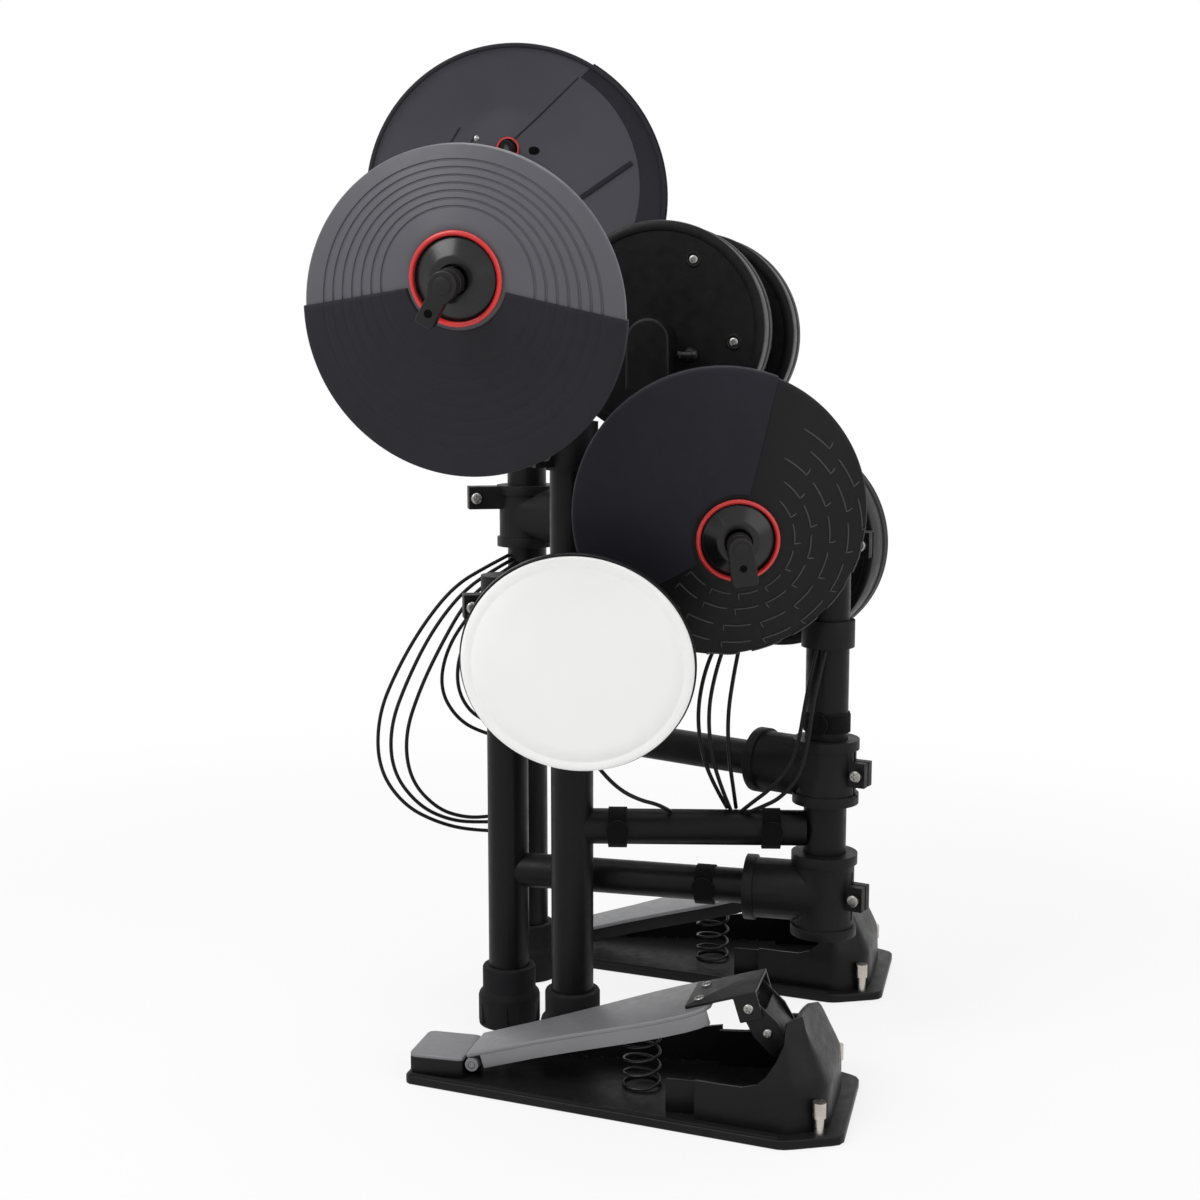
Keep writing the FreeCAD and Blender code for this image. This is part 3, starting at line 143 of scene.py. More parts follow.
def noise(tree, scale, detail, stretch=None, kind=NOISE):
    """A texture's value in the piece's own metres, stretched along axes where asked."""
    source = add(tree, "TexCoord").outputs["Object"]
    if stretch:
        source = add(tree, "Mapping", Vector=source, Scale=stretch).outputs["Vector"]
    return add(tree, kind, Vector=source, Scale=scale, Detail=detail).outputs[0]


# Materials.
DUST = (0.35, 0.34, 0.33, 1.0)
DUST_SLOPE = 0.35
TONE_ENDS, GLOSS_ENDS = (0.32, 0.68), (0.3, 0.7)
COAT_ROUGH, LEAST_ROUGH = 0.1, 0.02
# How much finer the wear and the dust are than the patches of tone.
WEAR_SHARE, DUST_SHARE = 6, 9


def linear(display):
    """A colour picked in 0 to 255 display values, as Blender's linear numbers."""
    shares = [v / 255 for v in display]
    return [v / 12.92 if v <= 0.04045 else ((v + 0.055) / 1.055) ** 2.4 for v in shares]


def dusted(tree, base, patch, dust):
    """A little dust over a colour, where the surface faces up."""
    normal = add(tree, "NewGeometry").outputs["Normal"]
    up = add(tree, "SeparateXYZ", Vector=normal).outputs["Z"]
    lie = add(tree, "MapRange", Value=up, From_Min=DUST_SLOPE, From_Max=1.0, To_Max=dust)
    amount = combined(tree, "MULTIPLY", lie.outputs["Result"], noise(tree, patch * DUST_SHARE, 6.0))
    mix = add(tree, "Mix", data_type="RGBA", Factor=amount)
    under, over = (socket for socket in mix.inputs if socket.type == "RGBA")
    tree.links.new(base, under)
    over.default_value = DUST
    return next(socket for socket in mix.outputs if socket.type == "RGBA")


def finish_of(name, display, rough, grain, bump, specular, tone=0.16, spread=0.06, patch=18.0, depth=0.0002,
              metal=0.0, coat=0.0, sheen=0.0, stretch=None, kind=NOISE, dust=0.0):
    """A procedural finish: patchy tone, uneven gloss, fine grain and a little dust on what faces up."""
    material, tree, shader = new_material(name)
    ramp = add(tree, "ValToRGB", Fac=noise(tree, patch, 5.0))
    for end, position, factor in zip(ramp.color_ramp.elements, TONE_ENDS, (1 - tone, 1 + tone)):
        end.position = position
        end.color = [min(1.0, c * factor) for c in linear(display)] + [1.0]
    base = ramp.outputs["Color"]
    if dust > 0:
        base = dusted(tree, base, patch, dust)
    gloss = add(tree, "MapRange", Value=noise(tree, patch * WEAR_SHARE, 6.0),
                From_Min=GLOSS_ENDS[0], From_Max=GLOSS_ENDS[1],
                To_Min=max(LEAST_ROUGH, rough - spread), To_Max=min(1.0, rough + spread))
    relief = add(tree, "Bump", Strength=bump, Distance=depth,
                 Height=noise(tree, grain, 2.0, stretch, kind))
    fill(tree, shader, Base_Color=base, Roughness=gloss.outputs["Result"], Normal=relief.outputs["Normal"],
         Metallic=metal, Specular_IOR_Level=specular, Coat_Weight=coat, Coat_Roughness=COAT_ROUGH,
         Sheen_Weight=sheen)
    return material


TUBE = finish_of("tube_coat", (18, 18, 19), 0.4, 1500, 0.10, 0.14, depth=0.0001)
CLAMP = finish_of("clamp_moulding", (20, 20, 22), 0.48, 1100, 0.2, 0.15, dust=0.015)
FOOT = finish_of("foot_rubber", (24, 24, 26), 0.7, 700, 0.3, 0.12, dust=0.04)
ROD = finish_of("rod_black", (16, 16, 17), 0.33, 1800, 0.06, 0.2)
SHELL = finish_of("pad_moulding", (17, 17, 18), 0.36, 1300, 0.14, 0.15)
WHITE = finish_of("white_head", (252, 252, 251), 0.5, 1700, 0.05, 0.35, tone=0.012, spread=0.05)
TOM_HEAD = finish_of("tom_rubber", (34, 34, 36), 0.62, 900, 0.2, 0.15)
PLATE = finish_of("cymbal_grey", (88, 87, 93), 0.42, 1400, 0.10, 0.35, tone=0.05)
UNDER = finish_of("cymbal_underside", (70, 69, 76), 0.5, 1200, 0.12, 0.22, tone=0.05)
RIDE_PLATE = finish_of("ride_plate", (23, 22, 22), 0.48, 1100, 0.16, 0.16, tone=0.08)
# The dashes' lighter grey is a painted highlight on ridges of the ride's own dark plastic.
RIDE_DASH_HIGHLIGHT = finish_of("ride_dash_painted_highlight", (62, 61, 63), 0.42, 1200, 0.12, 0.3, tone=0.08)
RUBBER = finish_of("zone_rubber", (38, 37, 42), 0.62, 800, 0.22, 0.15, tone=0.05)
RIDE_RUBBER = finish_of("ride_rubber", (34, 33, 40), 0.6, 800, 0.2, 0.16, tone=0.06)
RED = finish_of("ring_red", (205, 38, 38), 0.3, 1200, 0.05, 0.5, tone=0.08, coat=0.3)
GLOSS = finish_of("cup_black", (20, 20, 22), 0.26, 1600, 0.04, 0.3, coat=0.12)
NUT = finish_of("nut_moulding", (26, 25, 27), 0.4, 1200, 0.14, 0.25)
# Near-black painted shade, for holes drawn as thin dark discs and plates.
PAINTED_HOLE_SHADE = finish_of("painted_hole_shade", (7, 7, 8), 0.7, 900, 0.1, 0.05)
STEEL = finish_of("screw_steel", (150, 149, 146), 0.34, 2500, 0.1, 0.5, tone=0.12, patch=60, metal=1.0)
BLACK_SCREW = finish_of("screw_black", (44, 44, 46), 0.36, 2500, 0.1, 0.5, tone=0.12, patch=60, metal=0.7)
SPUR = finish_of("spur_plating", (186, 180, 172), 0.3, 900, 0.5, 0.5, tone=0.14, patch=70, depth=0.0003,
                 metal=1.0, stretch=(1, 1, 0.25))
SPRING = finish_of("spring_wire", (58, 58, 60), 0.36, 2200, 0.15, 0.5, tone=0.2, patch=50, metal=0.8)
SILVER = finish_of("board_silver", (124, 124, 126), 0.42, 1500, 0.10, 0.35, tone=0.05, patch=24, metal=0.2)
DARK_STEEL = finish_of("bracket_black", (18, 18, 19), 0.38, 1300, 0.12, 0.2)
BASE = finish_of("pedal_moulding", (18, 18, 19), 0.42, 1000, 0.2, 0.16, dust=0.02)
STRAP = finish_of("strap_weave", (12, 12, 14), 0.85, 900, 0.6, 0.08, depth=0.0004, sheen=0.06, kind=CELLS)
CABLE = finish_of("cable_sheath", (15, 15, 16), 0.42, 1500, 0.08, 0.2)
FOAM = finish_of("sensor_foam", (70, 70, 72), 0.9, 500, 0.5, 0.1, depth=0.0006, kind=CELLS)

# Each node takes the first finish that has an ending of its name.
MOULDED = ("_tee", "_tees", "_clamp", "_clamps")
FINISHES = {
    ("_frame", "tom_bar"): TUBE, MOULDED: CLAMP, "_foot": FOOT, ("_rod", "_rods"): ROD,
    ("_shell", "_hoop"): SHELL, "snare_head": WHITE, "_head": TOM_HEAD, "_sensor": FOAM,
    "ride_plate": RIDE_PLATE, ("heel_plate", "_footboard"): SILVER, "_plate": PLATE,
    "ride_zone": RIDE_RUBBER, "_zone": RUBBER, "_ring": RED, "_wingnut": NUT, "_screws": BLACK_SCREW,
    "_straps": STRAP, "_base": BASE, ("_bracket", "_link"): DARK_STEEL, "_spring": SPRING, "_spurs": SPUR,
    "_cables": CABLE,
}
# The moulded and cast nodes get their edges eased, by widths in metres.
EASED = {MOULDED: 0.0016, "_bracket": 0.0010}
WELD_REACH, EASED_ANGLE = 0.00002, radians(40)
for name, node in nodes.items():
    node.data.materials.clear()
    node.data.materials.append(next(finish for ending, finish in FINISHES.items() if name.endswith(ending)))
    for width in [width for ending, width in EASED.items() if name.endswith(ending)]:
        weld = node.modifiers.new("weld", "WELD")
        weld.merge_threshold = WELD_REACH
        ease = node.modifiers.new("ease", "BEVEL")
        ease.width = width
        ease.segments = 3
        ease.limit_method = "ANGLE"
        ease.angle_limit = EASED_ANGLE
        ease.harden_normals = True


# Meshes and pieces.
SLAB_SHARP, SLAB_PROFILE = 40, 0.6
SLAB_CORNER = radians(25)


def made(points, faces, place=None, sharp=None, smooth=True):
    """A mesh in metres from points in millimetres of a place, sharp past an angle in degrees."""
    mesh = bpy.data.meshes.new("made")
    place = place or Matrix.Identity(4)
    mesh.from_pydata([(place @ Vector(p)) * MM for p in points], [], faces)
    work = bmesh.new()
    work.from_mesh(mesh)
    bmesh.ops.recalc_face_normals(work, faces=work.faces)
    work.to_mesh(mesh)
    work.free()
    if smooth:
        mesh.shade_smooth()
    mesh.update()
    if sharp:
        mesh.set_sharp_from_angle(angle=radians(sharp))
    return mesh


def lofted(lines, place=None, sharp=None, smooth=True, closed=False):
    """A skin through closed sections of as many points, capped unless it closes on itself."""
    count, rows = len(lines[0]), len(lines)
    faces = []
    for row in range(rows if closed else rows - 1):
        here, there = row * count, (row + 1) % rows * count
        for k in range(count):
            n = (k + 1) % count
            faces.append((here + k, here + n, there + n, there + k))
    if not closed:
        faces += [tuple(range(count)), tuple(range((rows - 1) * count, rows * count))]
    return made([p for line in lines for p in line], faces, place, sharp, smooth)


def ringed(stations, place, count, closed, sharp=None):
    """A form of circles, each with its radius, its centre's shift along -Y and its height."""
    lines = [[(x, y, z) for x, y in circle(r, count, 0.0, -shift)] for r, shift, z in stations]
    return lofted(lines, place, sharp, closed=closed)


def strip(spots, width, section, place, taper=1.0, smooth=True):
    """A low strip along points. Its section is in shares of the half width and in heights."""
    last = len(spots) - 1
    lines = []
    for k, spot in enumerate(spots):
        way = spots[min(k + 1, last)] - spots[max(k - 1, 0)]
        grow = taper if k in (0, last) else 1.0
        side = way.cross(UP).normalized() * (width / 2 * grow)
        rises = [rise * grow if rise > 0 else rise for _, rise in section]
        lines.append([spot + side * across + UP * rise for (across, _), rise in zip(section, rises)])
    return lofted(lines, place, smooth=smooth)


def turned(profile, place, count=96, closed=True, sharp=35):
    """A lathe form from pairs of radius and height, closed round its section or with capped ends."""
    return ringed([(r, 0.0, z) for r, z in profile], place, count, closed, sharp)


def slab(outline, low, high, place, bevel=0.6, segments=2):
    """A plate from a flat outline, with its edges rounded."""
    work = bmesh.new()
    face = work.faces.new([work.verts.new((x, y, low)) for x, y in outline])
    raised = bmesh.ops.extrude_face_region(work, geom=[face])
    lifted = [v for v in raised["geom"] if isinstance(v, bmesh.types.BMVert)]
    bmesh.ops.translate(work, verts=lifted, vec=(0, 0, high - low))
    bmesh.ops.recalc_face_normals(work, faces=work.faces)
    corners = [e for e in work.edges if len(e.link_faces) == 2 and e.calc_face_angle(0) > SLAB_CORNER]
    bmesh.ops.bevel(work, geom=corners, offset=bevel, segments=segments, profile=SLAB_PROFILE,
                    affect="EDGES", clamp_overlap=True)
    for vert in work.verts:
        vert.co = (place @ vert.co) * MM
    mesh = bpy.data.meshes.new("slab")
    bmesh.ops.recalc_face_normals(work, faces=work.faces)
    work.to_mesh(mesh)
    work.free()
    mesh.shade_smooth()
    mesh.set_sharp_from_angle(angle=radians(SLAB_SHARP))
    return mesh


def block(low, high, place, bevel):
    (x0, y0, z0), (x1, y1, z1) = low, high
    return slab([(x0, y0), (x1, y0), (x1, y1), (x0, y1)], z0, z1, place, bevel)


def joined(meshes):
    """Several meshes as one."""
    work = bmesh.new()
    for mesh in meshes:
        work.from_mesh(mesh)
        bpy.data.meshes.remove(mesh)
    result = bpy.data.meshes.new("joined")
    work.to_mesh(result)
    work.free()
    return result


def placed(name, data):
    piece = bpy.data.objects.new(name, data)
    bpy.context.scene.collection.objects.link(piece)
    return piece


def show(name, shape, material, body, slot, *stands_for):
    """Puts a mesh, or a list of them as one, on a body with its material. The slot is not used."""
    mesh = joined(shape) if isinstance(shape, list) else shape
    mesh.name = name
    mesh.materials.append(material)
    piece = placed(name, mesh)
    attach(piece, body)
    if stands_for:
        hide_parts(*stands_for)
    return piece


def dress(owner, name, shape, material, part, slot, *stands_for):
    """Shows a piece that is named after its owner, on the owner's body or on one of its parts."""
    body = f"{owner}_{part}" if part else owner
    return show(f"{owner}_{name}", shape, material, body, slot, *(f"{owner}_{node}" for node in stands_for))


# Cymbals. A cymbal's own Z is the playing direction and its -Y points to the rubber zone.
FLAT, DOME, RIM, BORE = 38.0, 19.0, 6.0, 9.3
DOME_SHARES, HALVINGS = (0.86, 0.14), 30
PLATE_THICK, RIM_WALL = 3.0, 4.0
TOP_STEPS, UNDER_STEPS, RIM_SHARE = 24, 12, 0.985
CUP_FOOT, CUP_TOP, CUP_RISE = 31.0, 17.0, 9.0
CUP = (
    (CUP_FOOT, 0.05), (CUP_FOOT - 0.3, 0.9), (CUP_TOP + 1.6, CUP_RISE - 0.9), (CUP_TOP + 0.4, CUP_RISE - 0.2),
    (CUP_TOP - 1.2, CUP_RISE), (BORE + 2.6, CUP_RISE), (BORE + 1.8, CUP_RISE - 0.6),
    (BORE + 1.5, CUP_RISE - 3.5), (BORE + 0.2, CUP_RISE - 4.0), (BORE + 0.2, 0.05),
)
BAND_RADIUS, BAND_WIRE, BAND_LIFT = 33.0, 2.0, 0.15
GROOVES = (0.235, 0.33, 0.425, 0.52, 0.615, 0.71, 0.805)
GROOVE_WIDTH, GROOVE_DEPTH, GROOVE_FLOOR_SHARE, GROOVE_CLEAR_SHARE = 1.3, 0.95, 0.45, 1.6
# The rubber: its thickness, its edges' height and width as shares, and its lip by reach and height.
ZONE_THICK, ZONE_LIFT, ZONE_EDGE, ZONE_EDGE_SHARE = 2.0, 0.15, 0.55, 0.008
ZONE_ROWS, ZONE_COLUMNS, ZONE_DIP, ZONE_GROOVE_SHARES = 30, 90, 0.3, (0.01, 0.004, 0.016)
ZONE_SINK, ZONE_SEAT = 0.3, 0.08
ZONE_LIP = ((0.6, 1.5), (1.3, 0.4), (1.5, -1.2), (1.5, 1.2 - RIM), (0.9, 0.6 - RIM), (0.2, 0.6 - RIM))
# The wing nut, by radius and height.
NUT_SHOULDER, LEVER_LOW, LEVER_HIGH = 10.4, 24.6, 36.2
LEVER_CORNER_SHARE, LEVER_NECK_SHARES = 0.2, (0.35, 1.15)
NUT_SLEEVE = ((5.85, 13.6), (9.6, 13.6), (10.4, 14.4), (10.4, 24.0), (9.4, 25.2), (5.85, 25.2))
NUT_TIP = ((CORE, 36.1), (6.6, 36.1), (6.4, 36.9), (5.4, 37.4), (CORE, 37.4))
NUT_EYE_SHADE_DISC = ((CORE, 36.0), (3.1, 36.0), (3.1, 36.35), (2.6, 36.4), (CORE, 36.4))
EYE_SHARE = 0.72


def cymbal_frame(mount, angles, toward):
    out = facing(*angles)
    down = aimed(mount, out).to_3x3() @ Vector((*toward, 0))
    return aimed(mount, out, -down)


def dome_height(share):
    """The dome's drop at a share of the way from the flat to the rim."""
    return -DOME * (DOME_SHARES[0] * share + DOME_SHARES[1] * share * share)


class Dome:
    """A leaning round dome: circles that move off centre as they grow."""

    def __init__(self, radius, offset):
        self.radius = radius
        self.offset = offset

    def station(self, share, lift=0.0):
        return (FLAT + (self.radius - FLAT) * share, self.offset * share, dome_height(share) + lift)

    def share_at(self, angle, reach):
        """The share at which a straight line from the mount at this angle has gone a distance."""
        low, high = 0.0, 1.0
        for _ in range(HALVINGS):
            middle = (low + high) / 2
            x, y, _ = self.spot(angle, middle)
            if hypot(x, y) < reach:
                low = middle
            else:
                high = middle
        return low

    def spot(self, angle, share, lift=0.0):
        """The point of the dome where a straight line from the mount crosses one of its circles."""
        radius, shift, height = self.station(share, lift)
        turn = angle + asin(max(-1.0, min(1.0, shift * cos(angle) / radius)))
        return (radius * cos(turn), radius * sin(turn) - shift, height)


def grooved(shares, grooves, half, floor, clear, depth):
    """Shares of the way to the rim with their dips, where grooves push out the shares beside them."""
    dips = dict.fromkeys(shares, 0.0)
    for groove in grooves:
        dips = {share: dip for share, dip in dips.items() if abs(share - groove) >= clear}
        for way in (-1, 1):
            dips.update({groove + way * half: 0.0, groove + way * floor: -depth})
    return dips


def plate_stations(dome, grooves):
    """The closed section of the plate, from the cup round the top and rim and back to the bore."""
    half = GROOVE_WIDTH / (dome.radius - FLAT)
    shares = [step / TOP_STEPS for step in range(TOP_STEPS + 1)]
    dips = grooved(shares, grooves, half, half * GROOVE_FLOOR_SHARE, half * GROOVE_CLEAR_SHARE, GROOVE_DEPTH)
    top = [(CUP_FOOT - 6, 0.0, 0.0), (FLAT - 1.5, 0.0, 0.0)]
    top += [dome.station(s, dips[s]) for s in sorted(dips) if s < RIM_SHARE]
    radius, shift, height = dome.station(1.0)
    wall, foot = radius - RIM_WALL, height - RIM
    top += [dome.station(RIM_SHARE), (radius - 0.5, shift, height - 0.4), (radius, shift, height - 1.3),
            (radius, shift, foot + 1.0), (radius - 0.8, shift, foot), (wall + 0.8, shift, foot),
            (wall, shift, foot + 0.8)]
    under = [(wall, shift, height - PLATE_THICK - 0.4)]
    for step in range(UNDER_STEPS - 1, -1, -1):
        share = step / UNDER_STEPS
        r, s, z = dome.station(share, -PLATE_THICK)
        under.append((r - RIM_WALL * share, s, z))
    return top + under + [(CUP_FOOT, 0.0, -PLATE_THICK), (BORE, 0.0, -PLATE_THICK), (BORE, 0.0, 0.0)]


def sector(zone):
    """A zone's first angle and its span, from its span and lean in degrees."""
    span = radians(zone[0])
    return radians(zone[1] - 90) - span / 2, span


def zone_mesh(dome, zone, place, grooves):
    """The rubber sector: a solid skin on the dome with rounded straight edges and a lip over the rim."""
    first, span = sector(zone)
    columns = [0.0, 0.003, ZONE_EDGE_SHARE] + [k / ZONE_COLUMNS for k in range(1, ZONE_COLUMNS)]
    columns += [0.992, 0.997, 1.0]
    shares = [0.012, 0.988] + [step / ZONE_ROWS for step in range(ZONE_ROWS)]
    dips = grooved(shares, grooves, *ZONE_GROOVE_SHARES, ZONE_DIP)
    rows = sorted(dips)
    level = dome_height(1.0)
    lines = []
    for column in columns:
        turn = first + span * column
        edge = min(column, 1 - column) / ZONE_EDGE_SHARE
        rise = ZONE_THICK * min(1.0, ZONE_EDGE + edge * (1 - ZONE_EDGE))
        heights = [rise * (1.0 if row else ZONE_EDGE) + dips[row] for row in rows]
        line = [dome.spot(turn, row, ZONE_LIFT + height) for row, height in zip(rows, heights)]
        for reach, drop in ZONE_LIP:
            line.append(Dome(dome.radius + reach, dome.offset).spot(turn, 1.0)[:2] + (level + drop,))
        line.append(dome.spot(turn, 1.0, -ZONE_SINK))
        line += [dome.spot(turn, row, ZONE_SEAT) for row in reversed(rows)]
        lines.append(line)
    return lofted(lines, place, 38)


def lever_outline(length, width):
    """A wing lever seen from the front: a round shoulder at the rod and a rounded tail."""
    half, corner = width / 2, width * LEVER_CORNER_SHARE
    high, low = (-NUT_SHOULDER * share for share in LEVER_NECK_SHARES)
    left = [(-NUT_SHOULDER, high), (-half, low)]
    tail = arc(corner, 180, 90, 4, corner - half, corner - length)
    tail += arc(corner, 270, 90, 4, half - corner, corner - length)
    return arc(NUT_SHOULDER, 0, 180, 12) + left + tail + [(-x, y) for x, y in reversed(left)]


def wing_nut(label, place, width, length):
    """A threaded sleeve under a flat lever, with a dark disc of painted shade near its tail for the eye's
    hole.
    """
    lever = [turned(NUT_SLEEVE, place, 64),
             slab(lever_outline(length, width), LEVER_LOW, LEVER_HIGH, place, 1.4, 3),
             turned(NUT_TIP, place, 48, False)]
    dress(label, "nut_lever", lever, NUT, "nut", "nut_plastic", "wingnut")
    # The eye is a thin near-black disc on the lever: painted shade for a hole.
    eye = turned(NUT_EYE_SHADE_DISC, moved(place, 0, width * EYE_SHARE - length, 0), 32, False)
    dress(label, "nut_eye_shade", eye, PAINTED_HOLE_SHADE, "nut", "nut_plastic")


def cymbal(label, mount, angles, toward, nut_toward, diameter, offset, zone, grooves, plate, rubber, lever):
    """One cymbal pad with its wing nut. Returns its place and its dome."""
    place = cymbal_frame(mount, angles, toward)
    dome = Dome(diameter / 2, offset)
    dish = ringed(plate_stations(dome, grooves), place, 192, True, 32)
    dress(label, "dish", dish, plate, "", "cymbal_plastic", "plate")
    dress(label, "cup", turned(CUP, place), GLOSS, "", "cymbal_plastic")
    skin = zone_mesh(dome, zone, place, grooves)
    dress(label, "rubber", skin, rubber, "", "cymbal_rubber", "zone")
    band = turned(circle(BAND_WIRE, 14, BAND_RADIUS, BAND_WIRE + BAND_LIFT), place, 128, True, 80)
    dress(label, "band", band, RED, "", "red_ring", "ring")
    wing_nut(label, cymbal_frame(mount, angles, nut_toward), *lever)
    return place, dome


# A zone is its span and lean in degrees, and a lever its width and length.
RIDE_ZONE, CRASH_ZONE = (135.0, 15.5), (150.0, -47.0)
cymbal("hihat", mount=(318, -18, 684), angles=(-12, -10), toward=(-0.08, -1.0), nut_toward=(-0.5, -0.85),
       diameter=245.0, offset=28.5, zone=(154.5, 1.7), grooves=GROOVES, plate=PLATE, rubber=RUBBER,
       lever=(14.0, 33.0))
ride_place, ride_dome = cymbal(
    "ride", mount=(160, 200, 477), angles=(0, -8), toward=(-0.62, 0.78), nut_toward=(0.15, -1.0),
    diameter=245.0, offset=22.0, zone=RIDE_ZONE, grooves=(), plate=RIDE_PLATE, rubber=RIDE_RUBBER,
    lever=(22.0, 31.0))
crash_place, crash_dome = cymbal(
    "crash", mount=(-185, -5, 829), angles=(180, 0), toward=(-0.18, -0.98), nut_toward=(-0.18, -0.98),
    diameter=294.0, offset=50.0, zone=CRASH_ZONE, grooves=GROOVES, plate=UNDER, rubber=RUBBER,
    lever=(11.0, 31.0))


# The crash shows its underside: the rubber turned in over the rim, seams, a rib and the mount's trim.
UNDER_LEAN = 0.7
TURNED_IN_SHARES, TURNED_IN_ROWS, TURNED_IN_COLUMNS = (0.78, 0.962), 8, 72
# The cosine and sine of the crash's lean about its own axis.
CRASH_LEAN = (0.9836, 0.1807)
# The rim's rubber edge, by distance from the rim and height over its foot.
EDGE = ((-4.4, 1.6), (-4.2, -0.05), (-3.2, -0.35), (-0.9, -0.35), (-0.05, 0.5), (-0.05, RIM - 2.0),
        (-1.5, RIM - 2.0))
# Each strip's ends right and up of the mount, its steps, its width and its rise.
CRASH_STRIPS = (
    ((5, 8), (70, 66), 14, 1.6, 0.7),
    ((66, -52), (122, -15), 14, 5.0, 2.0),
    ((-47, 20), (-57, 4), 6, 1.6, 0.8),
    ((-33, 12), (-37, 4), 4, 1.6, 0.8),
)
SLOT_SPOT, SLOT_SIZE, SLOT_POINTS, SLOT_SWELL, SLOT_STRETCH = (23, -2), 3.6, 25, 0.55, 1.5
RIVET_SPOT = (-31, 10)
WASHER = ((9.6, -3.05), (11.0, -3.05), (11.3, -3.6), (11.0, -4.4), (9.6, -4.4))
RIVET = ((CORE, -4.3), (1.6, -4.1), (2.6, -3.5), (2.8, -2.9), (CORE, -2.9))


def crash_spot(right, up):
    """A point of the crash's own frame from millimetres right and up of its mount, as seen from behind."""
    c, s = CRASH_LEAN
    return (-right * c - up * s, -right * s + up * c)


def under_height(x, y):
    reach = hypot(x, y)
    share = crash_dome.share_at(atan2(y, x), reach) if reach > FLAT else 0.0
    return dome_height(share) - PLATE_THICK - UNDER_LEAN * share


def under_strip(start, end, steps, width, rise):
    """A low strip along a straight line of the underside."""
    (x0, y0), (x1, y1) = crash_spot(*start), crash_spot(*end)
    line = [(x0 + (x1 - x0) * k / steps, y0 + (y1 - y0) * k / steps) for k in range(steps + 1)]
    spots = [Vector((x, y, under_height(x, y))) for x, y in line]
    section = ((-1.0, 0.3), (-0.7, -rise), (0.7, -rise), (1.0, 0.3))
    return strip(spots, width, section, crash_place, smooth=False)


def turned_in():
    """The rubber's border folded over the rim onto the underside."""
    first, span = sector(CRASH_ZONE)
    inner, outer = TURNED_IN_SHARES
    shares = [inner, inner + 0.004]
    shares += [inner + (outer - inner) * k / TURNED_IN_ROWS for k in range(1, TURNED_IN_ROWS + 1)]
    drops = [0.1] + [0.9] * (len(shares) - 1)
    lines = []
    for c in range(TURNED_IN_COLUMNS + 1):
        turn = first + span * c / TURNED_IN_COLUMNS
        line = [crash_dome.spot(turn, share, -PLATE_THICK - UNDER_LEAN * share - drop)
                for share, drop in zip(shares, drops)]
        lines.append(line + [crash_dome.spot(turn, share, -2.0) for share in (outer, inner)])
    return lofted(lines, crash_place, 35)


show("crash_turned_in", turned_in(), RUBBER, "crash", "cymbal_rubber")
rim_foot = dome_height(1.0) - RIM
edge = [(crash_dome.radius + reach, crash_dome.offset, rim_foot + rise) for reach, rise in EDGE]
show("crash_edge", ringed(edge, crash_place, 192, True), RUBBER, "crash", "cymbal_rubber")
show("crash_seams", [under_strip(*row) for row in CRASH_STRIPS], RUBBER, "crash", "cymbal_rubber")
# The slot is a thin teardrop plate of painted shade on the underside.
tear = []
for c, s in circle(1.0, SLOT_POINTS):
    grow = SLOT_SIZE * (1 + SLOT_SWELL * c)
    tear.append(crash_spot(SLOT_SPOT[0] + grow * SLOT_STRETCH * c, SLOT_SPOT[1] + grow * s))
show("crash_slot_shade", slab(tear, -3.5, -2.6, crash_place, 0.2), PAINTED_HOLE_SHADE, "crash", "cymbal_plastic")
show("crash_washer", turned(WASHER, crash_place, 64), RED, "crash", "red_ring")
rivet_place = moved(crash_place, *crash_spot(*RIVET_SPOT), 0)
show("crash_rivet", turned(RIVET, rivet_place, 32, False), STEEL, "crash", "screw_steel")

# Raised dashes on the ride's hard part: each ring's distance, and its dashes' span and pause in degrees.
DASH_RINGS = ((47, 21, 7), (61, 19, 6), (77, 17.5, 6), (93, 16, 6), (105, 15, 6))
DASH_WIDTH, DASH_RISE, DASH_SINK, HOOK = 1.6, 0.95, 0.15, 6.0
DASH_STEPS, DASH_MARGIN, DASH_STAGGER, DASH_TAPER = 8, 4, 3.5, 0.55
# The hook's two points, by degrees past the dash's start and the share of its length.
HOOK_SPOTS = ((1.0, 1.0), (0.35, 0.45))
DASH_SECTION = ((-1.0, -DASH_SINK), (-0.7, 0.7 * DASH_RISE), (0.0, DASH_RISE), (0.7, 0.7 * DASH_RISE),
                (1.0, -DASH_SINK))


def dashes():
    """Low rounded ridges with a hook at their start."""
    span, lean = RIDE_ZONE
    begin = lean - 90 + span / 2
    stop = begin + 360 - span - DASH_MARGIN
    found = []
    for index, (reach, length, pause) in enumerate(DASH_RINGS):
        turn = begin + DASH_MARGIN + DASH_STAGGER * (index % 2)
        while turn + length < stop:
            line = [(turn + past, reach + HOOK * share) for past, share in HOOK_SPOTS]
            line += [(turn + length * k / DASH_STEPS, reach) for k in range(DASH_STEPS + 1)]
            line = [(radians(a), r) for a, r in line]
            spots = [Vector(ride_dome.spot(a, ride_dome.share_at(a, r))) for a, r in line]
            found.append(strip(spots, DASH_WIDTH, DASH_SECTION, ride_place, DASH_TAPER))
            turn += length + pause
    return found


# The dashes are drawn lighter than the plate: a painted highlight.
show("ride_dashes", dashes(), RIDE_DASH_HIGHLIGHT, "ride", "cymbal_plastic")


# Screws: domed heads with a cross recess. The profile is in shares of the head's radius and rise.
HEAD_SHARES = ((1.0, 0.0), (1.0, 0.35), (0.93, 0.62), (0.78, 0.86), (0.62, 0.97))
HEAD_POINTS = 48
RECESS_SHARES = {"arm": 0.52, "wide": 0.17, "flare": 1.2, "middle": 1.35, "floor": 0.8, "depth": 0.35}
CAP_RISE, CAP_INSET = 1.6, 0.2
# How often a screw's axis is improved, and how near its end a point counts to it.
AXIS_ROUNDS, END_REACH = 12, 0.3


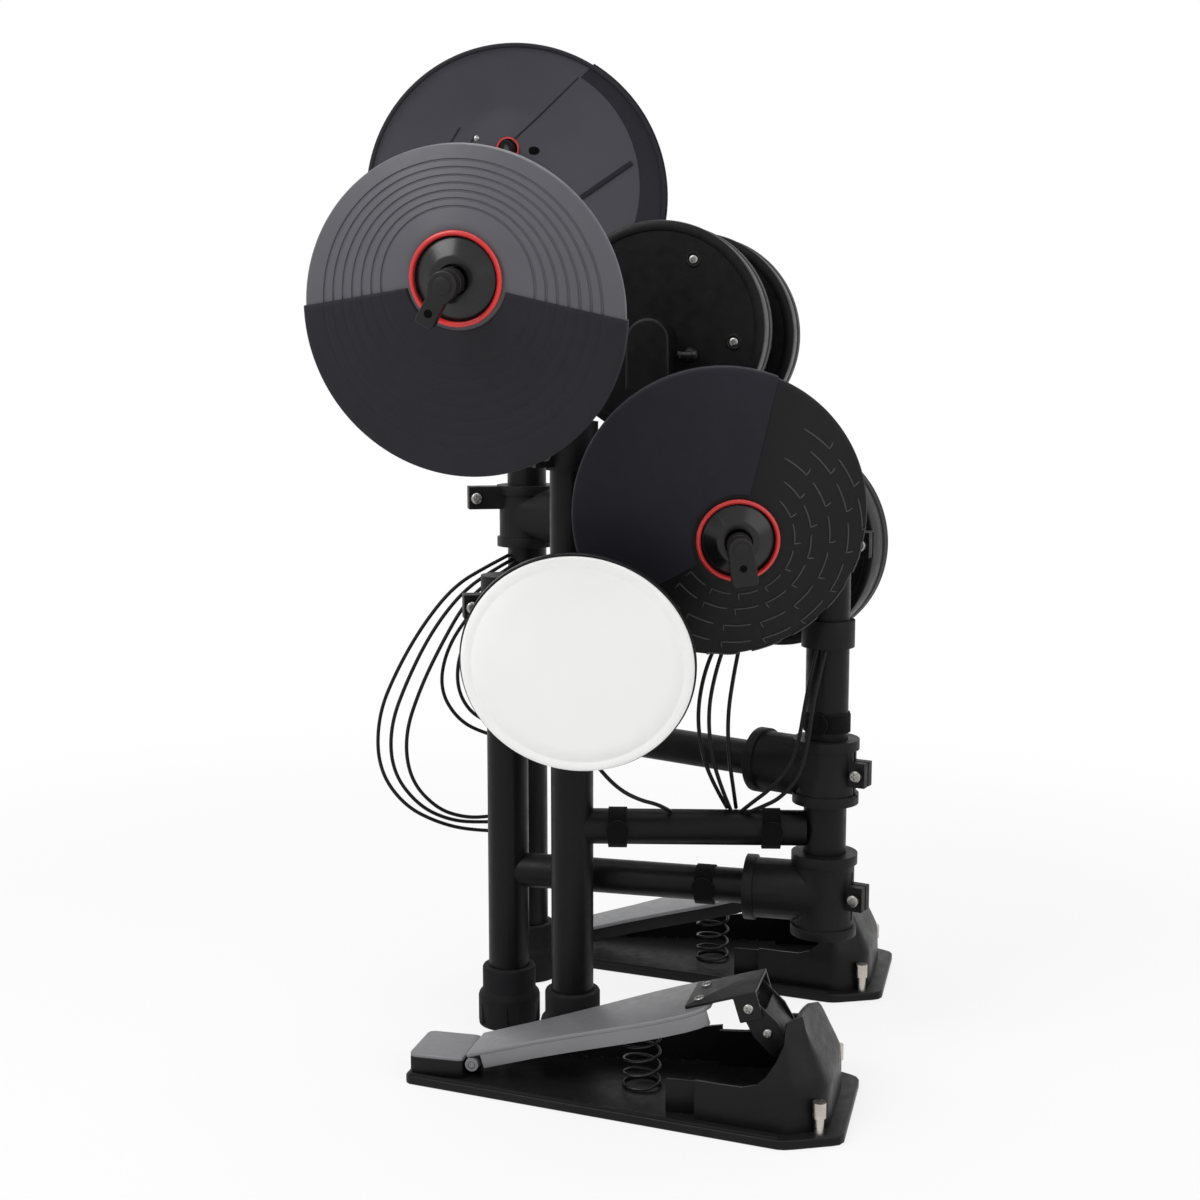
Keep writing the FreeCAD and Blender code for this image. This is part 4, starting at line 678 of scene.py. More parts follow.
def screw_mesh(radius, rise, place):
    """A pan head whose recess is cut as four slots round the middle."""
    arm, wide = radius * RECESS_SHARES["arm"], radius * RECESS_SHARES["wide"]
    star = []
    for c, s in circle(1.0, HEAD_POINTS):
        in_slot = min(abs(c), abs(s)) < wide / arm * RECESS_SHARES["flare"]
        reach = arm if in_slot else wide * RECESS_SHARES["middle"]
        star.append((reach * c, reach * s))
    lines = [[(x, y, rise * height) for x, y in circle(radius * share, HEAD_POINTS)]
             for share, height in HEAD_SHARES]
    floor = RECESS_SHARES["floor"]
    lines += [[(x, y, rise) for x, y in star],
              [(x * floor, y * floor, rise * RECESS_SHARES["depth"]) for x, y in star]]
    return lofted(lines, place, 30)


def loose_parts(mesh):
    """The separate bodies of a mesh, as lists of its points in millimetres."""
    keys = [tuple(round(v / MM, 3) for v in vert.co) for vert in mesh.vertices]
    part_of = {key: [key] for key in keys}
    for edge in mesh.edges:
        one, two = (part_of[keys[v]] for v in edge.vertices)
        if one is not two:
            one += two
            part_of.update(dict.fromkeys(two, one))
    parts = {id(part): part for part in part_of.values()}
    return [[Vector(key) for key in part] for part in parts.values()]


def screw_end(points):
    """The radius and middle of a screw's head and the way it looks."""
    middle = sum(points, Vector()) / len(points)
    first = max(points, key=lambda p: (p - middle).length)
    second = max(points, key=lambda p: (p - first).length)
    axis = (second - first).normalized()
    for _ in range(AXIS_ROUNDS):
        axis = sum(((p - middle) * (p - middle).dot(axis) for p in points), Vector()).normalized()
    marks = [(p - middle).dot(axis) for p in points]
    ends = []
    for mark in (min(marks), max(marks)):
        ring = [p for p, m in zip(points, marks) if abs(m - mark) < END_REACH]
        centre = sum(ring, Vector()) / len(ring)
        radius = max((p - centre).length for p in ring)
        ends.append((radius, middle + axis * mark, axis if mark > 0 else -axis))
    return max(ends, key=lambda end: end[0])


BODIES = {"leg": "leg", "near": "near_arm", "far": "far_arm"}
for label, body in BODIES.items():
    node = nodes[f"{label}_screws"]
    caps = []
    for part in loose_parts(node.data):
        radius, spot, way = screw_end([node.matrix_world @ (p * MM) / MM for p in part])
        caps.append(screw_mesh(radius - CAP_INSET, CAP_RISE, aimed(spot, way)))
    show(f"{label}_screw_caps", caps, STEEL, body, "screw_steel")


# Pads. A pad's own Z is its playing direction; its face is at 0 and its back at -PAD_DEPTH.
PAD_DEPTH, PAD_RIM = 45.0, 94.2
BOSS_WIDTH, BOSS_DEPTH, BOSS_TOP, BOSS_LENGTH = 39.0, 26.0, 10.0, 62.0
SKIN_CROWN, SKIN_FALL, SKIN_EDGE, SKIN_BACK = 0.35, 0.25, 94.1, -7.9
SNARE_SPOT, SNARE_FACING = (200, 67, 377), (-6, -15)
# The snare's back, and its skin's groove, edge and back.
SNARE_BACK, SNARE_SKIN = 130.0, (87.0, 95.8, -4.0)
SNARE_HOOP = ((94.5, -9.9), (96.9, -9.9), (97.4, -9.3), (97.5, -5.4), (97.2, -4.5), (96.6, -4.1),
              (94.5, -4.1))
# Each tom's back and its heading.
TOMS = {"tom_one": ((42, 137, 650), 165), "tom_two": ((-50, 172, 645), 165),
        "tom_three": ((-8, 247, 456), 152)}
TOM_BACK, TOM_BOSS, TOM_GROOVE = 190.0, 4.0, 86.0
SCREW_RING, SCREW_TURNS, SCREW_LIFT = 68.0, (-9, 63, 135, 207, 279), 1.7
TOM_SCREW = (4.0, 1.3)
SEAT = ((4.6, -0.4), (4.8, 1.2), (5.4, 1.6), (6.4, 1.5), (7.2, 0.6), (7.3, -0.4))
JACK_SPOT, BARREL_SPOT = (-29, -22, -PAD_DEPTH), (-8, 0, 7.5)
SOCKET = ((3.4, -0.6), (3.6, 4.6), (5.2, 4.2), (6.6, 1.4), (6.8, -0.6))
BARREL = ((CORE, 0.0), (3.4, 0.0), (4.0, 0.6), (4.0, 4.0), (3.2, 4.6), (3.2, 14.6), (3.8, 15.2), (3.8, 17.0),
          (3.2, 17.6), (CORE, 17.6))


def pad_shell(label, place, back, shift):
    """The dish, its back lip and the arched boss that takes the rod."""
    edge, floor = back / 2, -PAD_DEPTH
    dish = turned([
        (CORE, floor + 1.6), (edge - 9.4, floor + 1.6), (edge - 8.6, floor + 0.2), (edge - 7.6, floor),
        (edge - 2.4, floor), (edge - 0.7, floor + 0.7), (edge - 0.1, floor + 2.4), (PAD_RIM - 1.0, -14.2),
        (PAD_RIM, -12.4), (PAD_RIM, -8.05), (CORE, -8.05),
    ], place, 128, False, 30)
    half, low = BOSS_WIDTH / 2, BOSS_TOP - BOSS_LENGTH
    outline = arc(half, 0, 180, 16, shift, BOSS_TOP - half) + [(shift - half, low), (shift + half, low)]
    boss = slab(outline, floor - BOSS_DEPTH, floor + 1.2, place, 3.0, 4)
    dress(label, "dish", [dish, boss], SHELL, "", "pad_plastic", "shell")


def pad_head(label, place, finish, slot, groove, edge=SKIN_EDGE, back=SKIN_BACK):
    """The playing skin: a slight crown, a faint ring and a rolled edge."""
    profile = [(CORE, SKIN_CROWN)]
    profile += [(r, SKIN_CROWN - SKIN_FALL * (r / edge) ** 2) for r in (20, 40, 60, 74, groove - 1.6)]
    profile += [(groove - 0.8, -0.35), (groove + 0.8, -0.35), (groove + 1.7, 0.1), (edge - 3.2, -0.05),
                (edge - 1.4, -0.4), (edge - 0.3, -1.3), (edge, -2.4), (edge, back), (CORE, back)]
    piece = dress(label, "skin", turned(profile, place, 160, False, 50), finish, "", slot, "head")


def tom_back(tom, place):
    """The screws in the tom's back, their seats and the jack with its plug."""
    over = turn_about("X", 180)
    heads, seats = [], []
    for turn in SCREW_TURNS:
        a = radians(turn)
        spot = moved(place, -SCREW_RING * cos(a), SCREW_RING * sin(a), SCREW_LIFT - PAD_DEPTH) @ over
        heads.append(screw_mesh(*TOM_SCREW, spot))
        seats.append(turned(SEAT, spot, 40))
    dress(tom, "back_screws", heads, STEEL, "", "screw_steel")
    dress(tom, "screw_seats", seats, SHELL, "", "pad_plastic")
    jack = moved(place, *JACK_SPOT) @ over
    barrel = moved(jack, *BARREL_SPOT) @ turn_about("Y", 90)
    plug = [turned(SOCKET, jack, 48), turned(BARREL, barrel, 40, False)]
    dress(tom, "jack", plug, NUT, "", "pad_plastic")


snare_place = aimed(SNARE_SPOT, facing(*SNARE_FACING))
pad_shell("snare", snare_place, SNARE_BACK, 0.0)
pad_head("snare", snare_place, WHITE, "white_head", *SNARE_SKIN)
show("snare_rim", turned(SNARE_HOOP, snare_place, 160, True, 50), SHELL, "snare", "pad_plastic", "snare_hoop")
for tom, (back, heading) in TOMS.items():
    out = facing(heading, 0)
    tom_place = aimed(Vector(back) + out * PAD_DEPTH, out)
    pad_shell(tom, tom_place, TOM_BACK, TOM_BOSS)
    pad_head(tom, tom_place, TOM_HEAD, "tom_rubber", TOM_GROOVE)
    tom_back(tom, tom_place)

# Feet: a flared boot with notches round its skirt, by radius and height.
POSTS = {"leg": Vector((0, 0, 0)), "near": Vector((66, 61, 0)), "far": Vector((-130, 14, 0))}
BOOT = (
    (CORE, 0.0), (26.5, 0.0), (28.6, 0.7), (29.0, 4.2), (29.0, 4.4), (29.0, 23.6), (29.0, 27.5), (28.2, 30.2),
    (25.6, 33.4), (25.0, 35.5), (25.0, 54.6), (24.2, 56.3), (22.6, 57.0), (19.3, 57.0), (19.3, 40.0),
    (CORE, 40.0),
)
BOOT_POINTS, NOTCHES, NOTCH_DEPTH, NOTCH_SHARE, NOTCHED_ROWS = 160, 6, 2.8, 0.3, (3, 4)


def boot(label):
    post = POSTS[label]
    lines = []
    for row, (r, z) in enumerate(BOOT):
        line = []
        for k, (c, s) in enumerate(circle(1.0, BOOT_POINTS)):
            in_notch = row in NOTCHED_ROWS and k * NOTCHES / BOOT_POINTS % 1.0 < NOTCH_SHARE
            reach = r - NOTCH_DEPTH if in_notch else r
            line.append((post.x + reach * c, post.y + reach * s, z))
        lines.append(line)
    show(f"{label}_boot", lofted(lines, sharp=32), FOOT, BODIES[label], "foot_rubber", f"{label}_foot")


for label in POSTS:
    boot(label)

# Hook-and-loop straps: a wrapped band whose end lies over itself, with a round tab.
HUB = Vector((74, 287, 0))
ARM_RADIUS, POST_RADIUS = 15.9, 19.05
NEAR_ARM_HEIGHT, LEG_ARM_HEIGHT, HUB_STRAP_HEIGHT, HUB_TAB_HEADING = 209, 150, 307, -30
STRAP_ONE_REACH, STRAP_TWO_REACH, STRAP_LEG_REACH = 41, 178, 189
STRAP_WIDTH, STRAP_THICK, STRAP_TAB, STRAP_TAB_THICK = 17.0, 1.3, 10.0, 2.0
STRAP_STEPS, STRAP_START, STRAP_TURNS, STRAP_OVERLAP_SHARE = 96, radians(128), 1.16, 0.06
STRAP_GAP, STRAP_LIFT, STRAP_TAB_LIFT = 0.25, 1.5, 1.7
STRAP_SECTION = ((-1, 0.0), (-0.97, 1.0), (0.97, 1.0), (1, 0.0))


def strap(name, middle, axis, radius, out, body, *stands_for):
    place = aimed(middle, axis, out)
    lines = []
    for k in range(STRAP_STEPS + 1):
        share = k / STRAP_STEPS
        a = STRAP_START + 2 * pi * STRAP_TURNS * share
        over = (share - 1 / STRAP_TURNS + STRAP_OVERLAP_SHARE) / STRAP_OVERLAP_SHARE
        inner = radius + STRAP_GAP + STRAP_LIFT * max(0.0, min(1.0, over))
        line = []
        for across, thick in STRAP_SECTION:
            r = inner + STRAP_THICK * thick
            line.append((r * cos(a), r * sin(a), across * STRAP_WIDTH / 2))
        lines.append(line)
    tab_place = aimed(Vector(middle) + Vector(out) * (radius + STRAP_TAB_LIFT), out, axis)
    tab = slab(circle(STRAP_TAB, 40), 0.0, STRAP_TAB_THICK, tab_place, 0.5)
    show(name, [lofted(lines, place, 40), tab], STRAP, body, "strap_fabric", *stands_for)


near_axis = (HUB - POSTS["near"]).normalized()
leg_axis = (HUB - POSTS["leg"]).normalized()
near_line = POSTS["near"] + UP * NEAR_ARM_HEIGHT
front = near_axis.cross(UP)
strap("strap_one", near_line + near_axis * STRAP_ONE_REACH, near_axis, ARM_RADIUS, front, "near_arm",
      "near_straps")
strap("strap_two", near_line + near_axis * STRAP_TWO_REACH, near_axis, ARM_RADIUS, front, "near_arm")
strap("strap_hub", HUB + UP * HUB_STRAP_HEIGHT, UP, POST_RADIUS, facing(HUB_TAB_HEADING, 0), "near_arm")
strap("strap_leg", leg_axis * STRAP_LEG_REACH + UP * LEG_ARM_HEIGHT, leg_axis, ARM_RADIUS, leg_axis.cross(UP),
      "leg")

# Cables: the routes of the CAD tubes and their lengths in metres.
CABLE_WIDTH = 3.6
FAR_CABLES = (
    ((-120.0, -3.3, 432.5), (-107, -24, 423), (-90, -55, 406), (-82, -84, 371), (-78, -110, 327),
     (-78, -130, 280), (-80, -131, 227), (-86, -107, 188), (-96, -72, 167), (-110, -38, 156),
     (-124.3, -4.7, 151.8)),
    ((-115.8, 0.0, 428.5), (-98, -22, 418), (-80, -49, 399), (-70, -76, 364), (-66, -99, 319),
     (-66, -117, 272), (-70, -116, 226), (-78, -92, 190), (-90, -62, 172), (-105, -32, 166),
     (-119.6, -2.4, 163.8)),
    ((-112.5, 4.2, 425.5), (-90, -17, 414), (-70, -43, 393), (-60, -65, 355), (-54, -86, 312),
     (-56, -102, 265), (-62, -98, 220), (-72, -74, 189), (-86, -48, 176), (-101, -22, 173),
     (-115.9, 0.4, 174.1)),
    ((-109.9, 9.0, 420.4), (-96, -13, 402), (-90, -40, 380), (-89, -64, 343), (-92, -71, 303),
     (-100, -54, 271), (-110, -28, 255), (-119.8, -3.1, 246.6)),
    ((-109.1, 15.1, 415.5), (-92, -8, 397), (-84, -30, 377), (-80, -50, 344), (-84, -54, 308),
     (-94, -42, 280), (-105, -20, 266), (-115.5, 0.1, 258.6)),
)
NEAR_CABLES = (
    ((94.5, 213.6, 488.4), (95, 211, 455), (97, 206, 425), (98, 199, 392), (100, 187, 359), (98, 180, 320),
     (92, 184, 279), (84, 194, 247), (73.3, 202.6, 225.8)),
    ((93.5, 219.9, 490.3), (90, 214, 456), (88, 205, 425), (90, 191, 387), (90, 177, 354), (88, 171, 314),
     (84, 177, 275), (77, 189, 246), (67.2, 199.9, 226.0)),
    ((91.5, 225.7, 494.1), (88, 221, 458), (85, 216, 424), (88, 210, 387), (90, 203, 352), (88, 198, 314),
     (82, 200, 275), (73, 205, 245), (64.4, 208.2, 225.0)),
    ((91.8, 275.8, 373.2), (96, 269, 348), (99, 264, 322), (102, 260, 297), (104, 252, 271), (98, 235, 250),
     (87, 221, 236), (77.1, 212.2, 225.3)),
    ((94.6, 282.5, 373.0), (100, 276, 348), (106, 270, 322), (110, 267, 296), (112, 260, 266),
     (104, 244, 244), (92, 229, 233), (79.3, 218.0, 224.7)),
    ((95.5, 68.4, 303.9), (101, 75, 285), (110, 88, 268), (117, 104, 254), (115, 121, 245), (104, 134, 239),
     (91, 143, 232), (76.1, 148.9, 224.9)),
)
FAR_LENGTHS = (0.427, 0.405, 0.387, 0.246, 0.222)
NEAR_LENGTHS = (0.273, 0.280, 0.276, 0.172, 0.179, 0.137)


def cable(name, route, body, stands_for):
    curve = bpy.data.curves.new(name, "CURVE")
    curve.dimensions = "3D"
    curve.bevel_depth = CABLE_WIDTH / 2 * MM
    curve.bevel_resolution = 4
    curve.use_fill_caps = True
    spline = curve.splines.new("NURBS")
    spline.points.add(len(route) - 1)
    for spot, stop in zip(spline.points, route):
        spot.co = (*(Vector(stop) * MM), 1.0)
    spline.order_u = 3
    spline.use_endpoint_u = True
    spline.resolution_u = 12
    curve.materials.append(CABLE)
    piece = placed(name, curve)
    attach(piece, body)
    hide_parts(stands_for)


for side, routes, lengths in (("far", FAR_CABLES, FAR_LENGTHS), ("near", NEAR_CABLES, NEAR_LENGTHS)):
    for index, (route, length) in enumerate(zip(routes, lengths), start=1):
        cable(f"{side}_cable_{index}", route, f"{side}_arm", f"{side}_cables")

# Pedals. A pedal's own X runs from heel to toe and its own Y away from the camera.
PEDALS = {"near": (117, -77), "far": (-209.5, 4)}
PEDAL_TURN, BOARD_SLOPE, LINK_SLOPE = 76, 17, 52
PIN_X, PIN_Z = 60.0, 21.0
NEAR_FACE = turn_about("X", 90)
BAR_EASE, BAR_CHAMFER = 0.3, 0.4


def bar(radius, length, bore=CORE):
    """The profile of a pin or a sleeve with eased ends."""
    eased = radius - BAR_EASE
    return [(bore, 0), (eased, 0), (radius, BAR_CHAMFER), (radius, length - BAR_CHAMFER), (eased, length),
            (bore, length)]


# The return spring.
SPRING_X, SPRING_RADIUS, SPRING_WIRE, SPRING_TURNS = 205.0, 15.7, 1.3, 6
SPRING_LOW, SPRING_HIGH = 9.6, 64.9
COIL_STEPS, COIL_SIDES, COIL_FLAT_TURNS = 36, 10, 0.8


def coil_mesh(place):
    """A coil whose two end turns lie flat."""
    lines = []
    for k in range(COIL_STEPS * SPRING_TURNS + 1):
        turn = k / COIL_STEPS
        a = 2 * pi * turn
        share = max(0.0, min(1.0, (turn - COIL_FLAT_TURNS) / (SPRING_TURNS - 2 * COIL_FLAT_TURNS)))
        out = Vector((cos(a), sin(a), 0))
        height = SPRING_LOW + (SPRING_HIGH - SPRING_LOW) * share
        centre = Vector((SPRING_X + SPRING_RADIUS * out.x, SPRING_RADIUS * out.y, height))
        lines.append([centre + (out * c + UP * s) * SPRING_WIRE for c, s in circle(1.0, COIL_SIDES)])
    return lofted(lines, place)


def spring(side, place):
    coil = dress(side, "coil", coil_mesh(place), SPRING, "pedal", "spring_steel", "pedal_spring")
    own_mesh(coil)


# The toe link: two sheets with a web, a pin and a roller.
LINK_PIN = (301.13, 0.0, 94.2)
STRUT = ((-8, 4), (-4, 8.6), (6, 9.2), (22, 12), (44, 9), (52, 3), (52, -5), (44, -9), (22, -12), (6, -9.2),
         (-4, -8.6), (-8, -4))
SHEETS, SHEET_THICK = (-25.4, 22.6), 2.8
WEB = ((10, -23, 6.2), (46, 23, 8.8))
STRUT_PIN, STRUT_PIN_LENGTH = 2.9, 56
ROLLER_X, ROLLER, ROLLER_LENGTH = 46, 5.9, 50.8
# Each bolt's place along the link and across it, its radius and its rise.
STRUT_BOLTS = ((0, -27.6, 4.6, 2.4), (26, -25.6, 4.2, 2.0))


def toe_link(side, place):
    link = moved(place, *LINK_PIN) @ turn_about("Y", LINK_SLOPE)
    upright = turn_about("X", -90)
    plates = [slab(STRUT, 0.0, SHEET_THICK, moved(link, 0, across, 0) @ upright, 0.7) for across in SHEETS]
    plates.append(block(*WEB, link, 0.9))
    pin = [(CORE, 0), (STRUT_PIN, 0), (STRUT_PIN, STRUT_PIN_LENGTH), (CORE, STRUT_PIN_LENGTH)]
    plates.append(turned(pin, moved(link, 0, STRUT_PIN_LENGTH / 2, 0) @ NEAR_FACE, 32, False))
    roller_place = moved(link, ROLLER_X, ROLLER_LENGTH / 2, 0) @ NEAR_FACE
    plates.append(turned(bar(ROLLER, ROLLER_LENGTH), roller_place, 40, False))
    dress(side, "strut", plates, DARK_STEEL, "link", "black_steel", "pedal_toe_link")
    bolts = [screw_mesh(radius, rise, moved(link, x, across, 0) @ NEAR_FACE)
             for x, across, radius, rise in STRUT_BOLTS]
    dress(side, "strut_bolts", bolts, STEEL, "link", "screw_steel")


# The footboard, by half of its outline, with a skirt along each side and two knuckles on the pin.
BOARD_HALF = [(-2.5, 25.4), (10, 25.8), (60, 27.6), (96, 31.4), (130, 36.6), (158, 40.4), (180, 41.8),
              (198, 41.2), (210, 38.4), (218, 33.4), (221.6, 27.0)]
TREAD_LOW, TREAD_HIGH, SKIRT_LOW, SKIRT_HIGH = 6.6, 10.4, -5.2, 7.0
SKIRT_INSET, SKIRT_WALL = 0.2, 3.0
KNUCKLE, KNUCKLE_BORE, KNUCKLE_LENGTH, KNUCKLE_SHIFT = 6.0, 3.3, 17.4, 17.2
BRACKET_SCREW, BRACKET_SCREW_SPOTS = (4.6, 1.9), ((211, -17, 13.4), (211, 17, 13.4))
# The far board's sides are painted black as shade under the rack; the near board's same sides are silver.
SKIRT_FINISH_AND_FAR_SHADE = {"near": (SILVER, "silver_board"), "far": (BASE, "black_steel")}


def footboard(side, place):
    board = moved(place, PIN_X, 0, PIN_Z) @ turn_about("Y", -BOARD_SLOPE)
    heads = [screw_mesh(*BRACKET_SCREW, moved(board, *spot)) for spot in BRACKET_SCREW_SPOTS]
    dress(side, "bracket_screws", heads, STEEL, "board", "screw_steel")
    tread = [slab(mirrored(BOARD_HALF), TREAD_LOW, TREAD_HIGH, board, 1.3, 3)]
    skirts = []
    for way in (-1, 1):
        outer = [(x, way * (y - SKIRT_INSET)) for x, y in BOARD_HALF[1:-1]]
        inner = [(x, way * (y - SKIRT_INSET - SKIRT_WALL)) for x, y in BOARD_HALF[1:-1]]
        skirts.append(slab(outer + inner[::-1], SKIRT_LOW, SKIRT_HIGH, board, 0.7))
        sleeve = moved(board, 0, way * KNUCKLE_SHIFT + KNUCKLE_LENGTH / 2, 0) @ NEAR_FACE
        tread.append(turned(bar(KNUCKLE, KNUCKLE_LENGTH, KNUCKLE_BORE), sleeve, 40))
    dress(side, "tread", tread, SILVER, "board", "silver_board", "pedal_footboard")
    # The far pedal's skirts take the base's black as painted shade.
    finish, slot = SKIRT_FINISH_AND_FAR_SHADE[side]
    dress(side, "skirts", skirts, finish, "board", slot)


# The heel: a dark block under a silver cap, with the tongue that carries the board's pin.
HEEL_HALF = [(3.2, -22.0), (4.6, -26.2), (8.8, -27.9), (48, -27.9), (52.0, -26.4), (53.2, -22.5)]
HEEL_LOW, HEEL_BLOCK_TOP, HEEL_CAP_LOW, HEEL_TOP = 8.1, 24.2, 23.6, 27.0
TONGUE = ((44, -7.9, 18.1), (60, 7.9, 23.9))
HEEL_KNUCKLE_LENGTH, HEEL_PIN, HEEL_PIN_LENGTH = 16.0, 2.9, 52.0


def heel(side, place):
    outline = mirrored(HEEL_HALF)
    body = slab(outline, HEEL_LOW, HEEL_BLOCK_TOP, place, 1.2, 3)
    dress(side, "heel_block", body, BASE, "pedal", "black_steel")
    cap = [slab(outline, HEEL_CAP_LOW, HEEL_TOP, place, 1.5, 4), block(*TONGUE, place, 0.7)]
    for radius, length, count in ((KNUCKLE, HEEL_KNUCKLE_LENGTH, 40), (HEEL_PIN, HEEL_PIN_LENGTH, 32)):
        spot = moved(place, PIN_X, length / 2, PIN_Z) @ NEAR_FACE
        cap.append(turned(bar(radius, length), spot, count, False))
    dress(side, "heel", cap, SILVER, "pedal", "silver_board", "pedal_heel_plate")


# The base: a flat plate, by half of its outline, and a hood round the toe.
BASE_HALF = [(0, -25.5), (1.2, -29.0), (4.5, -31.5), (326, -81.9), (334, -83.1), (340, -82.6), (347, -79.9),
             (377, -65.6), (382.4, -62.0), (385, -56.5)]
BASE_THICK, BASE_SEAT = 8.0, 7.6
# The hood's wall: a point of its foot, its height, and how far its top leans in above the cheeks.
HOOD = (
    (262, -59.1, 41, 0.0), (285, -62.6, 41, 0.0), (302, -65.2, 41.5, 0.05), (313, -66.9, 45, 0.2),
    (321, -68.1, 52, 0.3), (328, -69.2, 64, 0.34), (334, -70.0, 77, 0.36), (340, -70.0, 87, 0.38),
    (347, -66.8, 92, 0.4), (356, -61.0, 94.5, 0.42), (365, -54.2, 95, 0.44), (370, -47.0, 94, 0.46),
    (372, -37.0, 93, 0.48), (372, -18.0, 92, 0.5), (372, 0.0, 90, 0.5), (372, 18.0, 87, 0.5),
    (372, 37.0, 82, 0.48), (370, 47.0, 77, 0.46), (365, 54.2, 72, 0.44), (356, 61.0, 66, 0.42),
    (347, 66.8, 62, 0.3), (340, 70.0, 60, 0.2), (328, 69.2, 58.5, 0.1), (312, 66.7, 58, 0.05),
    (296, 64.2, 58, 0.05), (293, 63.8, 42, 0.0), (285, 62.6, 41, 0.0), (262, 59.1, 41, 0.0),
)
HOOD_WALL, HOOD_STEPS, HOOD_DRAFT_SHARE, HOOD_TOP_FALL, CHEEK_TOP = 3.6, 10, 0.03, 0.6, 43.0
INNER_CHEEK = ((236, -50, BASE_SEAT), (264, -46, 36))
# How much each side of the base grows away from the middle on its way to the toe.
BASE_GROWTH_SHARE = 0.1568
# The far wall's places along the base with their heights, and its foot from the middle at the heel.
FAR_WALL, FAR_WALL_REACH = ((58, 17), (150, 27), (263, 41)), 31
BEAD, BEAD_TOP = ((4, 30.4), (334, 82.1), (333.6, 79.3), (4, 27.6)), 10.4
STUD = ((CORE, 1.5), (0.9, 1.3), (1.6, 0.7), (1.8, 0.0), (CORE, 0.0))
STUDS, STUD_START, STUD_STEP, STUD_REACH, STUD_SEAT = 13, 74, 14, 24.5, 7.8


def hood_mesh(place):
    """The toe housing: one wall round the toe that leans in as it rises and swoops down to the cheeks."""
    lines = []
    for k, (x, y, top, lean) in enumerate(HOOD):
        before, after = HOOD[max(k - 1, 0)], HOOD[min(k + 1, len(HOOD) - 1)]
        way = Vector((after[0] - before[0], after[1] - before[1])).normalized()
        inward = Vector((-way.y, way.x, 0))
        outer = []
        for step in range(HOOD_STEPS + 1):
            rise = (top - BASE_SEAT) * step / HOOD_STEPS
            z = BASE_SEAT + rise
            leaning = max(0.0, z - CHEEK_TOP) * lean + rise * HOOD_DRAFT_SHARE
            outer.append(Vector((x, y, z)) + inward * leaning)
        inner = [p + inward * HOOD_WALL for p in outer]
        inner[-1] -= UP * HOOD_TOP_FALL
        lines.append(outer + inner[::-1])
    return lofted(lines, place, 42)


def base_trim(place):
    """The inner cheek, the low far wall, the beads along both sides and their studs."""
    trim = [block(*INNER_CHEEK, place, 0.9)]
    wall = []
    for x, top in FAR_WALL:
        reach = FAR_WALL_REACH + BASE_GROWTH_SHARE * x
        section = ((5.5, BASE_SEAT), (1.5, BASE_SEAT), (2.2, top), (5.2, top))
        wall.append([(x, reach - inset, z) for inset, z in section])
    trim.append(lofted(wall, place, smooth=False))
    for way in (-1, 1):
        trim.append(slab([(x, way * y) for x, y in BEAD][::way], BASE_SEAT, BEAD_TOP, place, 0.8))
        for x in range(STUD_START, STUD_START + STUDS * STUD_STEP, STUD_STEP):
            spot = moved(place, x, way * (STUD_REACH + BASE_GROWTH_SHARE * x), STUD_SEAT)
            trim.append(turned(STUD, spot, 16, False))
    return trim


def base(side, place):
    plate = slab(mirrored(BASE_HALF), 0.0, BASE_THICK, place, 1.7, 3)
    dress(side, "base_shell", [plate, hood_mesh(place)], BASE, "pedal", "pedal_plastic", "pedal_base")
    dress(side, "base_trim", base_trim(place), BASE, "pedal", "pedal_plastic")


for side, spot in PEDALS.items():
    pedal_place = Matrix.Translation((*spot, 0)) @ turn_about("Z", PEDAL_TURN)
    for part in (spring, toe_link, footboard, heel, base):
        part(side, pedal_place)

# Stage: a white floor that keeps the shadow, soft lamps and the photograph's camera, in metres.
FLOOR_HALF = 9.0
FADE_START, FADE_END = 0.55, 1.5
FLOOR_GLOW, FLOOR_WHITE, FLOOR_ROUGH, FLOOR_SPECULAR = 0.78, (0.93, 0.93, 0.93, 1.0), 0.9, 0.1
WORLD_SOFT, WORLD_SEEN = 0.42, 1.0
# Each lamp's place, target, power and size.
LAMPS = {
    "key": ((1.3, -1.3, 2.0), (0, 0.1, 0.45), 26.0, 1.2),
    "fill": ((1.5, 1.7, 1.3), (0, 0.1, 0.4), 10.0, 1.6),
    "top": ((-0.3, 0.2, 2.6), (0, 0.1, 0.3), 22.0, 1.8),
}
CAMERA_SPOT = (1.640, 0.086, 0.635)
CAMERA_PITCH = 8
LENS, SENSOR = 54.0, 36.0


def seen_rays(tree):
    """One for what the camera sees, directly, off a gloss or through glass, and nought for the rest."""
    path = add(tree, "LightPath").outputs
    seen = combined(tree, "MAXIMUM", path["Is Camera Ray"], path["Is Glossy Ray"])
    return combined(tree, "MAXIMUM", seen, path["Is Transmission Ray"])


